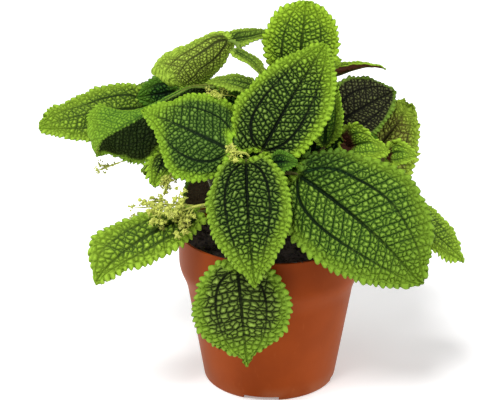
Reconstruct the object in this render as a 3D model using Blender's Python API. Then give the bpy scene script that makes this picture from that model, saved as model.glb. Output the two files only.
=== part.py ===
"""Potted pilea: a quilted-leaf house plant in a 12 cm terracotta-coloured plastic pot.

The plant is one rooted thing in one pot, so nothing moves. Each piece that would come apart on a
bench is its own object: the pot, the root ball, six stems, every leaf with its stalk, and the
flower sprays. Lengths are in millimetres here and are turned into metres by MM.
The pot stands on z = 0 with its axis on the Z axis. The front of the plant looks along -Y.
"""
from math import acos, atan2, cos, pi, radians, sin

import bmesh
import bpy
from mathutils import Matrix, Vector

MM = 0.001

# Pot
RIM_RADIUS = 60.0
POT_HEIGHT = 104.0
WALL = 1.3
COLLAR_DROP = 25.0
SHOULDER_DROP = 37.0
BODY_TOP_RADIUS = 54.6
FOOT_RADIUS = 43.6
FOOT_RING_WIDTH = 4.6
UNDERSIDE_RISE = 3.0
CENTRE_DISC_RADIUS = 14.0
DISC_STEP = 1.5
COLLAR_DRAFT = 0.4
SHOULDER_EASE = 4.0
RIM_EASE = 0.5
FOOT_SLOPE = 2.4
POT_SEGMENTS = 40
FOOT_NOTCHES = 4
NOTCH_WIDTH = 23.0
NOTCH_TURN = radians(-97.0)
DRAIN_HOLES = 8
DRAIN_HOLE_RADIUS = 4.0
DRAIN_CIRCLE_RADIUS = 27.0

# Root ball
SOIL_TOP = 95.0
CLEARANCE = 0.35
SOIL_EDGE = 6.0
SOIL_EDGE_DROP = 1.5

# Plant
STEM_CLEARANCE = 0.3
STALK_RADIUS = 1.15
BLADE_THICKNESS = 1.5
KEEL = 0.5
STALK_PULL = 0.42
STALK_START = 0.5
LOBE = 0.10
SIDES = 8
STALK_RINGS = 3
BLADE_RINGS = 10
STEM_RINGS = 12
SPRAY_STALK_RINGS = 5
SPRAY_HEAD_RINGS = 5
SPRAY_STALK_RADIUS = 0.6
DOME = 0.4
CURVE_STEP = 0.01
UP = Vector((0, 0, 1))


# ---------------------------------------------------------------- scene and materials

for old in list(bpy.data.objects):
    bpy.data.objects.remove(old, do_unlink=True)


def plain_material(name, colour, roughness):
    """A Principled material of one colour, given as linear red, green and blue."""
    material = bpy.data.materials.new(name)
    material.use_nodes = True
    shader = material.node_tree.nodes["Principled BSDF"]
    shader.inputs["Base Color"].default_value = (*colour, 1.0)
    shader.inputs["Roughness"].default_value = roughness
    shader.inputs["Metallic"].default_value = 0.0
    return material


TERRACOTTA = plain_material("terracotta_plastic", (0.33, 0.062, 0.014), 0.5)
PEAT = plain_material("peat", (0.012, 0.008, 0.005), 0.95)
STEM_GREEN = plain_material("stem", (0.10, 0.12, 0.035), 0.6)
LEAF_GREEN = plain_material("leaf", (0.11, 0.27, 0.03), 0.5)
FLOWER_GREEN = plain_material("flower", (0.48, 0.52, 0.13), 0.7)


def add_object(name, mesh_builder, material):
    """Turn a bmesh, whose points are in millimetres, into a named object in metres."""
    bmesh.ops.scale(mesh_builder, vec=(MM, MM, MM), verts=mesh_builder.verts)
    bmesh.ops.recalc_face_normals(mesh_builder, faces=mesh_builder.faces)
    mesh = bpy.data.meshes.new(name)
    mesh_builder.to_mesh(mesh)
    mesh_builder.free()
    mesh.shade_smooth()
    mesh.set_sharp_from_angle(angle=radians(40.0))
    mesh.materials.append(material)
    obj = bpy.data.objects.new(name, mesh)
    bpy.context.collection.objects.link(obj)
    return obj


# ---------------------------------------------------------------- pot and root ball

def rounded(corners):
    """Points of a profile whose corners (radius, height, size) are eased by a quadratic curve."""
    points = []
    for index, (r, z, size) in enumerate(corners):
        corner = Vector((r, z))
        if not size:
            points.append(corner)
            continue
        before = Vector(corners[index - 1][:2])
        after = Vector(corners[index + 1][:2])
        start = corner + (before - corner).normalized() * size
        end = corner + (after - corner).normalized() * size
        steps = 2 if size > 2 else 1
        for step in range(steps + 1):
            s = step / steps
            points.append(start * (1 - s) ** 2 + corner * 2 * s * (1 - s) + end * s * s)
    return points


def turned(name, profile, segments, material):
    """Spin a profile of (radius, height) points, from axis to axis, into a closed solid."""
    shape = bmesh.new()
    verts = [shape.verts.new((p.x, 0.0, p.y)) for p in profile]
    edges = [shape.edges.new(pair) for pair in zip(verts, verts[1:])]
    bmesh.ops.spin(
        shape, geom=verts + edges, cent=(0, 0, 0), axis=(0, 0, 1),
        angle=2 * pi, steps=segments, use_merge=True,
    )
    bmesh.ops.remove_doubles(shape, verts=shape.verts, dist=0.0001)
    return add_object(name, shape, material)


def pot_profile():
    """Outer side from the centre of the underside up to the rim, then the inner side back down."""
    ring_inner = FOOT_RADIUS - FOOT_RING_WIDTH
    shoulder = POT_HEIGHT - SHOULDER_DROP
    collar = POT_HEIGHT - COLLAR_DROP
    collar_inner = RIM_RADIUS - WALL - COLLAR_DRAFT
    return rounded([
        (0.0, 0.0, 0),
        (CENTRE_DISC_RADIUS, 0.0, 0),
        (CENTRE_DISC_RADIUS + DISC_STEP, UNDERSIDE_RISE, 0),
        (ring_inner - 1.0, UNDERSIDE_RISE, 0),
        (ring_inner, 0.0, 0),
        (FOOT_RADIUS, 0.0, WALL),
        (BODY_TOP_RADIUS, shoulder, SHOULDER_EASE),
        (RIM_RADIUS - COLLAR_DRAFT, collar, SHOULDER_EASE),
        (RIM_RADIUS, POT_HEIGHT, RIM_EASE),
        (collar_inner, POT_HEIGHT, RIM_EASE),
        (collar_inner, collar, SHOULDER_EASE),
        (BODY_TOP_RADIUS - WALL, shoulder, SHOULDER_EASE),
        (ring_inner + FOOT_SLOPE, UNDERSIDE_RISE + WALL, 1.0),
        (CENTRE_DISC_RADIUS, UNDERSIDE_RISE + WALL, 0),
        (CENTRE_DISC_RADIUS - DISC_STEP, WALL, 0),
        (0.0, WALL, 0),
    ])


def pot_cutter():
    """The notches through the foot ring and the round drain holes, as one hidden cutter."""
    shape = bmesh.new()
    for index in range(FOOT_NOTCHES):
        turn = NOTCH_TURN + index * 2 * pi / FOOT_NOTCHES
        place = (
            Matrix.Rotation(turn, 4, "Z")
            @ Matrix.Translation((FOOT_RADIUS, 0, 0))
            @ Matrix.Diagonal((4 * FOOT_RING_WIDTH, NOTCH_WIDTH, 2 * UNDERSIDE_RISE, 1))
        )
        bmesh.ops.create_cube(shape, size=1.0, matrix=place)
    for index in range(DRAIN_HOLES):
        turn = NOTCH_TURN + (index + 0.5) * 2 * pi / DRAIN_HOLES
        place = (
            Matrix.Rotation(turn, 4, "Z")
            @ Matrix.Translation((DRAIN_CIRCLE_RADIUS, 0, UNDERSIDE_RISE))
        )
        bmesh.ops.create_cone(
            shape, cap_ends=True, segments=16, depth=4 * UNDERSIDE_RISE,
            radius1=DRAIN_HOLE_RADIUS, radius2=DRAIN_HOLE_RADIUS, matrix=place,
        )
    cutter = add_object("pot_cutter", shape, TERRACOTTA)
    cutter.hide_render = True
    cutter.display_type = "WIRE"
    return cutter


pot = turned("pot", pot_profile(), POT_SEGMENTS, TERRACOTTA)
cut = pot.modifiers.new("notches_and_holes", "BOOLEAN")
cut.operation = "DIFFERENCE"
cut.solver = "EXACT"
cut.object = pot_cutter()


def soil_profile():
    """The root ball fills the pot to a few millimetres under the rim and is slightly domed."""
    shoulder = POT_HEIGHT - SHOULDER_DROP
    collar = POT_HEIGHT - COLLAR_DROP
    gap = WALL + CLEARANCE
    ball_radius = RIM_RADIUS - 2 * COLLAR_DRAFT - gap
    return rounded([
        (0.0, gap, 0),
        (CENTRE_DISC_RADIUS - DISC_STEP - 2 * CLEARANCE, gap, 0),
        (CENTRE_DISC_RADIUS - CLEARANCE, UNDERSIDE_RISE + gap, 0),
        (FOOT_RADIUS - FOOT_RING_WIDTH + FOOT_SLOPE / 2, UNDERSIDE_RISE + gap, 0),
        (BODY_TOP_RADIUS - gap, shoulder, SHOULDER_EASE),
        (ball_radius, collar, SHOULDER_EASE),
        (ball_radius, SOIL_TOP - SOIL_EDGE_DROP, 0),
        (RIM_RADIUS - SOIL_EDGE, SOIL_TOP, 0),
        (0.0, SOIL_TOP, 0),
    ])


turned("soil", soil_profile(), POT_SEGMENTS, PEAT)


# ---------------------------------------------------------------- stems

def along(points, u):
    """The point at fraction u of a smooth curve through evenly spread points."""
    spans = len(points) - 1
    place = min(max(u, 0.0), 1.0) * spans
    index = min(int(place), spans - 1)
    s = place - index
    p1 = points[index]
    p2 = points[index + 1]
    p0 = points[index - 1] if index else p1 * 2 - p2
    p3 = points[index + 2] if index + 2 <= spans else p2 * 2 - p1
    return (
        p1 * 2 + (p2 - p0) * s + (p0 * 2 - p1 * 5 + p2 * 4 - p3) * s ** 2
        + (p1 * 3 - p0 - p2 * 3 + p3) * s ** 3
    ) / 2


def direction(points, u):
    """The unit direction of the same curve."""
    return (along(points, u + CURVE_STEP) - along(points, u - CURVE_STEP)).normalized()


def stretched_ball(name, rings, place, material):
    """A ball of eight-sided rings with a pole at each end, whose points place() then moves.

    place(ring, turn) gives a point for ring 0 (the first pole) to ring rings + 1 (the last one).
    """
    shape = bmesh.new()
    bmesh.ops.create_uvsphere(shape, u_segments=SIDES, v_segments=rings + 1, radius=1.0)
    for vert in shape.verts:
        height = min(max(vert.co.z, -1.0), 1.0)
        ring = round((rings + 1) * acos(height) / pi)
        turn = atan2(vert.co.y, vert.co.x)
        vert.co = place(ring, turn)
    return add_object(name, shape, material)


def ring_point(centre, side, up, turn, radius):
    return centre + (side * cos(turn) + up * sin(turn)) * radius


def stem(name, points, foot_radius, top_radius):
    """A stem from the soil to its tip, standing on the soil with a hair's gap."""
    points = [Vector(p) for p in points]

    def place(ring, turn):
        u = (ring - 1) / (STEM_RINGS - 1)
        ahead = direction(points, u)
        if ring == 0:
            return along(points, 0.0) - UP * DOME
        if ring == STEM_RINGS + 1:
            return along(points, 1.0) + ahead * 2 * DOME
        ahead = UP if ring == 1 else ahead
        side = ahead.cross(Vector((0, 1, 0))).normalized()
        radius = foot_radius + (top_radius - foot_radius) * u
        return ring_point(along(points, u), side, side.cross(ahead), turn, radius)

    stretched_ball(name, STEM_RINGS, place, STEM_GREEN)
    return points, foot_radius, top_radius


GROUND = SOIL_TOP + STEM_CLEARANCE + DOME
STEMS = {
    "front": stem("stem_front", [(-6, -10, GROUND), (-7, -22, 128), (-9, -34, 157)], 2.8, 2.2),
    "tall": stem(
        "stem_tall",
        [(6, 4, GROUND), (13, 12, 128), (12, 18, 162), (3, 21, 194), (-22, 22, 219)], 3.0, 1.7,
    ),
    "left": stem(
        "stem_left", [(-24, -4, GROUND), (-34, 0, 124), (-46, 14, 148), (-58, 28, 166)], 2.8, 1.8,
    ),
    "right": stem(
        "stem_right", [(26, 0, GROUND), (38, 6, 120), (48, 14, 145), (52, 22, 166)], 2.8, 1.8,
    ),
    "back_left": stem(
        "stem_back_left", [(-18, 26, GROUND), (-26, 38, 124), (-34, 46, 152), (-44, 52, 176)], 2.8, 1.8,
    ),
    "back_right": stem(
        "stem_back_right", [(20, 28, GROUND), (30, 42, 120), (38, 54, 142), (46, 62, 160)], 2.8, 1.8,
    ),
}


# ---------------------------------------------------------------- leaves

# Columns of a blade's section, by eighths of a turn: how far out, and which skin.
SECTION = {
    0: (1.0, "edge"), 1: (0.5, "top"), 2: (0.0, "top"), 3: (-0.5, "top"), 4: (-1.0, "edge"),
    5: (-0.35, "under"), 6: (0.0, "keel"), 7: (0.35, "under"),
}
SKIN_DEPTH = {"top": 0.0, "edge": 0.45, "under": 1.0, "keel": 1.0 + KEEL}


def blade_outline(t, peak):
    """Half-width, from 0 to 1, at fraction t of a blade that is widest at fraction peak.

    A blade has a round base, unless it is widest past its middle: then it narrows to the stalk.
    """
    base_power = 0.5 + max(peak - 0.5, 0.0) * 2.5
    tip_power = base_power * (1 - peak) / peak
    widest = peak ** base_power * (1 - peak) ** tip_power
    return t ** base_power * (1 - t) ** tip_power / widest


def stalk_foot(stem_name, u, target):
    """Where a stalk starts, just off the stem's skin, and the way it sets out."""
    points, foot_radius, top_radius = STEMS[stem_name]
    centre = along(points, u)
    ahead = direction(points, u)
    out = target - centre
    out = (out - ahead * out.dot(ahead)).normalized()
    radius = foot_radius + (top_radius - foot_radius) * u
    return centre + out * (radius + STEM_CLEARANCE), out


def bezier(p0, p1, p2, p3, s):
    r = 1 - s
    return p0 * r ** 3 + p1 * 3 * r * r * s + p2 * 3 * r * s * s + p3 * s ** 3


def stalk_curve(foot, out, base, ahead):
    """The stalk leaves the stem squarely and runs into the blade's midrib."""
    pull = (base - foot).length * STALK_PULL
    return lambda s: bezier(foot, foot + out * pull, base - ahead * pull, base, s)


def leaf(name, on, base, tip, face, width, bow=4.0, sway=0.0, droop=0.0, fold=0.0, curl=0.0,
         peak=0.39):
    """One leaf: a stalk from a stem, and a blade from base to tip.

    on is (stem, fraction along it). face is the way the upper side looks. bow lifts the middle of
    the midrib towards the face, sway moves it sideways, and droop lets the tip sink. fold tilts
    both halves up from the midrib, and curl bends their outer parts further, in degrees. peak is
    the fraction of the length where the blade is widest.
    """
    base = Vector(base)
    chord = Vector(tip) - base
    face = Vector(face)
    lift = (face - chord * face.dot(chord) / chord.length_squared).normalized()
    arch = lift * bow + chord.cross(lift).normalized() * sway
    sink = Vector((0, 0, -droop))
    half = width / 2

    def frame(t):
        centre = base + chord * t + arch * 4 * t * (1 - t) + sink * t ** 4
        ahead = (chord + arch * 4 * (1 - 2 * t) + sink * 4 * t ** 3).normalized()
        side = ahead.cross(lift).normalized()
        return centre, ahead, side, side.cross(ahead)

    foot, out = stalk_foot(on[0], on[1], base)
    first_centre, first_ahead, first_side, first_up = frame(0.0)
    stalk = stalk_curve(foot, out, first_centre, first_ahead)

    def stalk_point(ring, turn):
        s = (ring - 1) / STALK_RINGS
        ahead = (stalk(s + CURVE_STEP) - stalk(s - CURVE_STEP)).normalized()
        if ring == 0:
            return foot
        side = first_up.cross(ahead) * -1
        side = (side if side.length > 0.2 else first_side - ahead * first_side.dot(ahead)).normalized()
        centre = foot + out * STALK_START if ring == 1 else stalk(s)
        return ring_point(centre, side, side.cross(ahead), turn, STALK_RADIUS)

    def blade_point(row, turn):
        t = (1 - cos(pi * row / (BLADE_RINGS + 1))) / 2
        centre, ahead, side, up = frame(t)
        spread = max(half * blade_outline(t, peak), STALK_RADIUS * 1.3)
        across, skin = SECTION[round(turn / (2 * pi / SIDES)) % SIDES]
        sign = -1 if across < 0 else 1
        inner = min(abs(across), 0.5) * spread
        outer = max(abs(across) - 0.5, 0.0) * spread
        tilt = radians(fold)
        bend = radians(fold + curl)
        sideways = inner * cos(tilt) + outer * cos(bend)
        height = inner * sin(tilt) + outer * sin(bend) - SKIN_DEPTH[skin] * BLADE_THICKNESS
        back = LOBE * width * across ** 2 * (1 - t) ** 5
        return centre + side * sign * sideways + up * height - ahead * back

    def place(ring, turn):
        row = ring - STALK_RINGS - 1
        if row > BLADE_RINGS:
            return base + chord + sink - lift * BLADE_THICKNESS * 0.4
        return stalk_point(ring, turn) if row < 1 else blade_point(row, turn)

    stretched_ball(name, STALK_RINGS + 1 + BLADE_RINGS, place, LEAF_GREEN)


# Around the growing tip of the front stem: two crossed pairs of big leaves, and one hung low.
leaf("leaf_centre", ("front", 0.97), (-6, -32, 167), (34, 6, 226), (-0.3, -0.85, 0.42), 55,
     bow=3, fold=5, curl=-14)
leaf("leaf_front", ("front", 0.93), (-15, -46, 167), (-9, -85, 102), (-0.15, -0.8, 0.6), 56,
     bow=8, fold=8, curl=-22)
leaf("leaf_left", ("front", 0.80), (-24, -40, 171), (-81, -15, 188), (-0.1, -0.75, 0.6), 60,
     bow=5, fold=-8, curl=-16)
leaf("leaf_right", ("front", 0.76), (16, -40, 156), (93, -60, 97), (0.3, -0.85, 0.45), 74,
     bow=8, fold=6, curl=-16, droop=7)
leaf("leaf_pot", ("front", 0.40), (-20, -68, 106), (-14, -74, 45), (0, -1, 0.15), 60,
     bow=3, fold=3, curl=-12, peak=0.46)
leaf("leaf_front_bud", ("front", 0.90), (0, -42, 164), (16, -50, 167), (0.1, -0.8, 0.6), 16,
     bow=2, fold=10)

# On the tall stem, at the crown and behind the big upright leaf.
leaf("leaf_top", ("tall", 0.72), (16, 24, 196), (22, 32, 246), (0.05, -0.95, 0.3), 48,
     bow=3, fold=4, curl=-10, peak=0.5)
leaf("leaf_edge_right", ("tall", 0.66), (33, 38, 198), (74, 37, 201), (0.05, 0.2, 0.95), 28,
     bow=3, fold=25)
leaf("leaf_upper_left", ("tall", 0.97), (-28, 19, 224), (-72, 13, 201), (0.25, -0.9, 0.1), 38,
     bow=3, fold=-20, curl=-6, peak=0.66)
leaf("leaf_upper_right", ("tall", 0.99), (-17, 26, 224), (4, 42, 221), (0.1, 0.25, 0.95), 16,
     bow=2, fold=25)
leaf("leaf_strip", ("tall", 0.90), (-18, 15, 215), (-4, 6, 201), (0.7, 0.2, 0.6), 14,
     bow=3, fold=20)
leaf("leaf_sliver", ("tall", 0.60), (-9, 5, 197), (-41, 1, 202), (0, 0.25, 0.95), 16,
     bow=3, fold=25)
leaf("leaf_roof", ("tall", 0.52), (-37, 15, 193), (-114, -12, 168), (-0.3, -0.8, 0.56), 62,
     bow=3, sway=5, droop=10, fold=-48, curl=-4, peak=0.60)
leaf("leaf_inner", ("tall", 0.44), (-12, 12, 172), (-38, 10, 192), (-0.2, -0.9, 0.4), 34,
     bow=3, fold=5)
leaf("leaf_inner_right", ("tall", 0.36), (26, 24, 142), (36, 27, 182), (-0.1, -0.95, 0.3), 34,
     bow=3, fold=5)

# On the left stem.
leaf("leaf_far_left", ("left", 0.97), (-78, 42, 170), (-150, 18, 165), (0.0, -0.5, 0.88), 46,
     bow=6, fold=-4, curl=8)
leaf("leaf_left_dark", ("left", 0.90), (-62, 38, 184), (-88, 36, 180), (-0.1, -0.95, 0.3), 24,
     bow=2, fold=-8)
leaf("leaf_ragged", ("left", 0.70), (-66, -2, 156), (-74, -18, 140), (-0.2, -0.9, 0.3), 20,
     bow=2, fold=-10)
leaf("leaf_low_left", ("left", 0.22), (-45, -34, 128), (-107, -62, 101), (-0.2, -0.6, 0.75), 35,
     bow=5, fold=-6, curl=-14, peak=0.50, droop=7)

# On the right stem.
leaf("leaf_dark", ("right", 0.95), (44, 14, 172), (81, 38, 185), (-0.1, -0.85, 0.5), 44,
     bow=4, fold=8, curl=-8)
leaf("leaf_right_back", ("right", 0.80), (66, 27, 146), (91, 37, 176), (0.3, -0.85, 0.4), 46,
     bow=4, fold=0, curl=-10)
leaf("leaf_young_a", ("right", 0.90), (46, -2, 160), (70, -10, 164), (0.1, -0.6, 0.8), 26,
     bow=4, fold=20, curl=15)
leaf("leaf_young_b", ("right", 0.70), (70, 0, 150), (90, -6, 156), (0.1, -0.5, 0.85), 20,
     bow=3, fold=20, curl=15)
leaf("leaf_far_right", ("right", 0.40), (72, 0, 122), (124, -20, 90), (0.3, -0.6, 0.75), 46,
     bow=5, fold=-4, curl=-12)

# Round the back, so that the plant is whole from every side.
leaf("leaf_back_crown", ("tall", 0.80), (18, 46, 190), (30, 90, 198), (0, -0.3, 0.95), 46,
     bow=6, fold=5, curl=-14)
leaf("leaf_back_left_high", ("back_left", 0.97), (-56, 60, 178), (-96, 82, 166), (-0.2, 0.3, 0.9), 50,
     bow=7, fold=4, curl=-16)
leaf("leaf_back_high", ("back_left", 0.90), (-34, 66, 172), (-24, 114, 160), (0, 0.3, 0.95), 52,
     bow=8, fold=4, curl=-16)
leaf("leaf_back_left_low", ("back_left", 0.55), (-50, 58, 140), (-86, 86, 108), (-0.4, 0.3, 0.85), 48,
     bow=8, fold=-4, curl=-14)
leaf("leaf_back_hang", ("back_left", 0.35), (-34, 72, 118), (-36, 86, 58), (-0.1, 1, 0.2), 54,
     bow=4, fold=4, curl=-14, peak=0.46)
leaf("leaf_back_right_high", ("back_right", 0.97), (60, 64, 160), (98, 90, 142), (0.2, 0.3, 0.9), 52,
     bow=7, fold=4, curl=-14)
leaf("leaf_back_middle", ("back_right", 0.88), (36, 80, 148), (28, 128, 128), (0, 0.5, 0.9), 52,
     bow=8, fold=4, curl=-16)
leaf("leaf_back_right_low", ("back_right", 0.50), (58, 46, 122), (104, 58, 88), (0.5, 0.2, 0.8), 52,
     bow=7, fold=-4, curl=-12)
leaf("leaf_back_right_hang", ("back_right", 0.25), (22, 74, 114), (26, 90, 62), (0.1, 1, 0.2), 46,
     bow=4, fold=4, curl=-12, peak=0.46)
leaf("leaf_back_upright", ("tall", 0.32), (6, 50, 136), (2, 68, 180), (0, 0.9, 0.4), 42,
     bow=4, fold=4, curl=-12, peak=0.44)
leaf("leaf_back_inner", ("back_left", 0.72), (-14, 72, 144), (2, 112, 132), (0.1, 0.4, 0.9), 44,
     bow=6, fold=4, curl=-14)
leaf("leaf_back_sprig", ("back_right", 0.80), (62, 74, 142), (84, 106, 116), (0.3, 0.5, 0.8), 40,
     bow=5, fold=2, curl=-12)


# ---------------------------------------------------------------- flower sprays

def spray(name, on, points, radius, length):
    """A flower spray: a thin stalk off a stem that ends in a loose, egg-shaped head."""
    way = [Vector(p) for p in points]
    foot, out = stalk_foot(on[0], on[1], way[0])
    head = (way[-1] - way[-2]).normalized()
    way = [foot + out * STALK_START] + way

    def place(ring, turn):
        if ring == 0:
            return foot
        u = (ring - 1) / SPRAY_STALK_RINGS
        if ring <= SPRAY_STALK_RINGS:
            ahead = direction(way, u)
            centre = along(way, u)
            thickness = SPRAY_STALK_RADIUS
        else:
            swell = (ring - SPRAY_STALK_RINGS) / (SPRAY_HEAD_RINGS + 1)
            ahead = head
            centre = way[-1] + head * length * (1 - cos(pi * swell)) / 2
            thickness = radius * sin(pi * swell)
        if ring == SPRAY_STALK_RINGS + SPRAY_HEAD_RINGS + 1:
            return way[-1] + head * length
        side = ahead.cross(Vector((0.2, 1, 0.1))).normalized()
        return ring_point(centre, side, side.cross(ahead), turn, thickness)

    stretched_ball(name, SPRAY_STALK_RINGS + SPRAY_HEAD_RINGS, place, FLOWER_GREEN)


spray("flowers_left", ("front", 0.55), [(-24, -36, 136), (-44, -44, 137), (-52, -46, 136)], 9, 21)
spray("flowers_left_low", ("left", 0.30), [(-42, -14, 124), (-58, -20, 129), (-65, -22, 130)], 4.5, 16)
spray("flowers_left_loop", ("left", 0.62), [(-56, -16, 150), (-60, -24, 156), (-64, -30, 155)], 4, 8)
spray("flowers_far_left", ("left", 0.80), [(-66, 8, 155), (-92, -12, 152), (-98, -17, 150)], 3.5, 8)
spray("flowers_centre", ("front", 0.99), [(-14, -40, 168), (-20, -45, 172), (-22, -47, 173)], 3.5, 7)
spray("flowers_upper", ("tall", 0.56), [(-20, 4, 190), (-29, -2, 193), (-31, -3, 193)], 3.5, 7)
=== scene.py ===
"""A potted pilea with quilted leaves. The plant and its pot are sized in mm, and the stage in metres."""

from math import acos, ceil, cos, exp, pi, radians, sin, sqrt
from random import Random

import bmesh
import bpy
from mathutils import Matrix, Vector, noise
from mathutils.kdtree import KDTree


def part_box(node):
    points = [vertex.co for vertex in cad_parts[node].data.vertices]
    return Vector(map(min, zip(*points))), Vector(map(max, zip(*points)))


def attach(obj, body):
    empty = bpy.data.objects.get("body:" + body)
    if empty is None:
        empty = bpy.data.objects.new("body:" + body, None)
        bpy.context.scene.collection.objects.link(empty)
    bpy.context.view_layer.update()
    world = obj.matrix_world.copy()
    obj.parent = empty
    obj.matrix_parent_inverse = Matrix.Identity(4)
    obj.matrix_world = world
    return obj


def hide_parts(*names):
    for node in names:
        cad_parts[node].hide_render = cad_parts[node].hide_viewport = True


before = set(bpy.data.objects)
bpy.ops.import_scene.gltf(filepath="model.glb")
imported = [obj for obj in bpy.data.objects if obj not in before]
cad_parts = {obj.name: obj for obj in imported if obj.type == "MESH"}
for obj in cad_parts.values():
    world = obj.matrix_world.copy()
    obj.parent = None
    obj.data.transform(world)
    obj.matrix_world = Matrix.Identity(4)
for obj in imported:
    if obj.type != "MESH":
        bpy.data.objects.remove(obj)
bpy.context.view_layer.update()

# ---------------------------------------------------------------------------------------------
# The nursery pot: one thin injection-moulded shell of terracotta-coloured plastic. Its collar
# steps in over a soft shoulder, and the foot ring is notched so that water can run out.

MM = 0.001
POT_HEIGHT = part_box("pot")[1][2] / MM
POT_STEPS = 144
CORNER_STEPS = 5
# The wall's outline from the middle of the foot, up the outside, over the rim and down the inside:
# radius, height, and how far back each corner starts to round.
POT_PROFILE = [
    (0, 0, 0), (14, 0, 0.3), (15.5, 3, 0.3), (38, 3, 0.3), (39, 0, 0.3), (43.6, 0, 1.3),
    (54.6, 67, 4), (59.6, 79, 4), (60, 104, 0.5), (58.3, 104, 0.5), (58.3, 79, 4), (53.3, 67, 4),
    (41.4, 4.3, 1), (14, 4.3, 0.5), (12.5, 1.3, 0.5), (0, 1.3, 0)]
# The foot's notches and the floor's drain holes: how many, where they start, and their sizes.
NOTCHES, NOTCH_TURN = 4, radians(-97)
NOTCH_CIRCLE, NOTCH_SIZE = 42, (9.4, 23, 5)
DRAINS, DRAIN_RADIUS, DRAIN_CIRCLE, DRAIN_SIDES = 8, 4, 27, 32
FLOOR_HEIGHT, DRAIN_DEPTH = 3.5, 8


def swept(start, bend, end, steps):
    """Points along a curve from start to end that is drawn towards bend."""
    return [start * (1 - f) ** 2 + bend * 2 * f * (1 - f) + end * f * f
            for f in (k / steps for k in range(steps + 1))]


def rounded(corners, steps):
    """A profile of (radius, height) points, with each corner turned into an arc of its own size."""
    points = []
    for i, (r, z, ease) in enumerate(corners):
        here = Vector((r, z))
        if ease == 0:
            points.append(here)
            continue
        back = (Vector(corners[i - 1][:2]) - here).normalized()
        on = (Vector(corners[i + 1][:2]) - here).normalized()
        points += swept(here + back * ease, here, here + on * ease, steps)
    return points


def spun(points, steps):
    """A closed solid turned about the z axis from (radius, height) points in mm."""
    bm = bmesh.new()
    chain = [bm.verts.new((p[0] * MM, 0, p[1] * MM)) for p in points]
    edges = [bm.edges.new(pair) for pair in zip(chain, chain[1:])]
    bmesh.ops.spin(bm, geom=chain + edges, cent=(0, 0, 0), axis=(0, 0, 1), angle=2 * pi,
                   steps=steps, use_merge=True)
    bmesh.ops.remove_doubles(bm, verts=bm.verts, dist=1e-6)
    bmesh.ops.recalc_face_normals(bm, faces=bm.faces)
    return bm


def linked(name, data):
    """An object with this data, put in the scene."""
    made = bpy.data.objects.new(name, data)
    bpy.context.scene.collection.objects.link(made)
    return made


def placed(name, bm):
    """An object made from a bmesh."""
    mesh = bpy.data.meshes.new(name)
    bm.to_mesh(mesh)
    bm.free()
    return linked(name, mesh)


def finished(blank):
    """The bmesh of an object with its modifiers applied. The object itself is taken away."""
    graph = bpy.context.evaluated_depsgraph_get()
    plain, shaped = blank.data, bpy.data.meshes.new_from_object(blank.evaluated_get(graph))
    bm = bmesh.new()
    bm.from_mesh(shaped)
    bpy.data.objects.remove(blank)
    for mesh in (plain, shaped):
        bpy.data.meshes.remove(mesh)
    return bm


def piece(name, bm, material, slot, *nodes, sharp=180):
    """A piece made from a bmesh, in place of CAD nodes. Edges turn sharp past an angle in degrees."""
    made = placed(name, bm)
    made.data.shade_smooth()
    if sharp < 180:
        made.data.set_sharp_from_angle(angle=radians(sharp))
    made.data.materials.append(material)
    if nodes:
        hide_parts(*nodes)
    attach(made, "root")
    return made


def maths(operation, turned=False):
    """A method that adds a Math node on two values, or on them turned about."""
    def method(self, other):
        return self.math(operation, *((other, self) if turned else (self, other)))
    return method


class Wire:
    """A socket in a node tree. Arithmetic on it adds Math nodes, and node() adds any other node."""

    def __init__(self, tree, socket=None):
        self.tree = tree
        self.socket = socket

    def node(self, kind, settings=None, inputs=None, output=0):
        """A new node with its settings and its sockets' values or links. Gives one of its outputs."""
        made = self.tree.nodes.new(kind)
        for name, value in (settings or {}).items():
            setattr(made, name, value)
        for name, value in (inputs or {}).items():
            if isinstance(value, Wire):
                self.tree.links.new(value.socket, made.inputs[name])
            else:
                made.inputs[name].default_value = value
        return Wire(self.tree, made.outputs[output])

    def math(self, operation, *values):
        return self.node("ShaderNodeMath", {"operation": operation}, dict(enumerate(values)))

    __add__ = __radd__ = maths("ADD")
    __sub__, __rsub__ = maths("SUBTRACT"), maths("SUBTRACT", turned=True)
    __mul__ = __rmul__ = maths("MULTIPLY")
    __truediv__ = maths("DIVIDE")
    low, high = maths("MINIMUM"), maths("MAXIMUM")

    def __abs__(self):
        return self.math("ABSOLUTE", self)

    def step(self, start, end):
        """0 where the value is start, 1 where it is end, with soft ends."""
        return self.node("ShaderNodeMapRange", {"interpolation_type": "SMOOTHSTEP"},
                         {"Value": self, "From Min": start, "From Max": end})

    def blend(self, first, second):
        """The first colour where this is 0, and the second where it is 1."""
        first, second = ((*c, 1) if isinstance(c, tuple) else c for c in (first, second))
        return self.node("ShaderNodeMix", {"data_type": "RGBA"}, {0: self, 6: first, 7: second}, 2)

    def place(self):
        """The place on the piece, in metres."""
        return self.node("ShaderNodeTexCoord", output=3)

    def parts(self):
        """The three numbers of a vector."""
        split = self.node("ShaderNodeSeparateXYZ", inputs={0: self}).socket.node
        return [Wire(self.tree, split.outputs[k]) for k in range(3)]

    def clouds(self, scale, detail):
        """Soft noise round 0.5 over a place, with a number of patches to each of its units."""
        return self.node("ShaderNodeTexNoise", {}, {"Vector": self, "Scale": scale, "Detail": detail})

    def streaks(self, scales, detail, turn=(0, 0, 0)):
        """Soft noise over a place, drawn out where its scale is low."""
        return self.node("ShaderNodeMapping", {}, {
            "Vector": self, "Rotation": turn, "Scale": scales}).clouds(1.0, detail)

    def bump(self, strength, distance):
        """A normal that rises and falls with the value, by a distance in metres."""
        return self.node("ShaderNodeBump", {}, {
            "Strength": strength, "Distance": distance, "Height": self})


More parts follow.
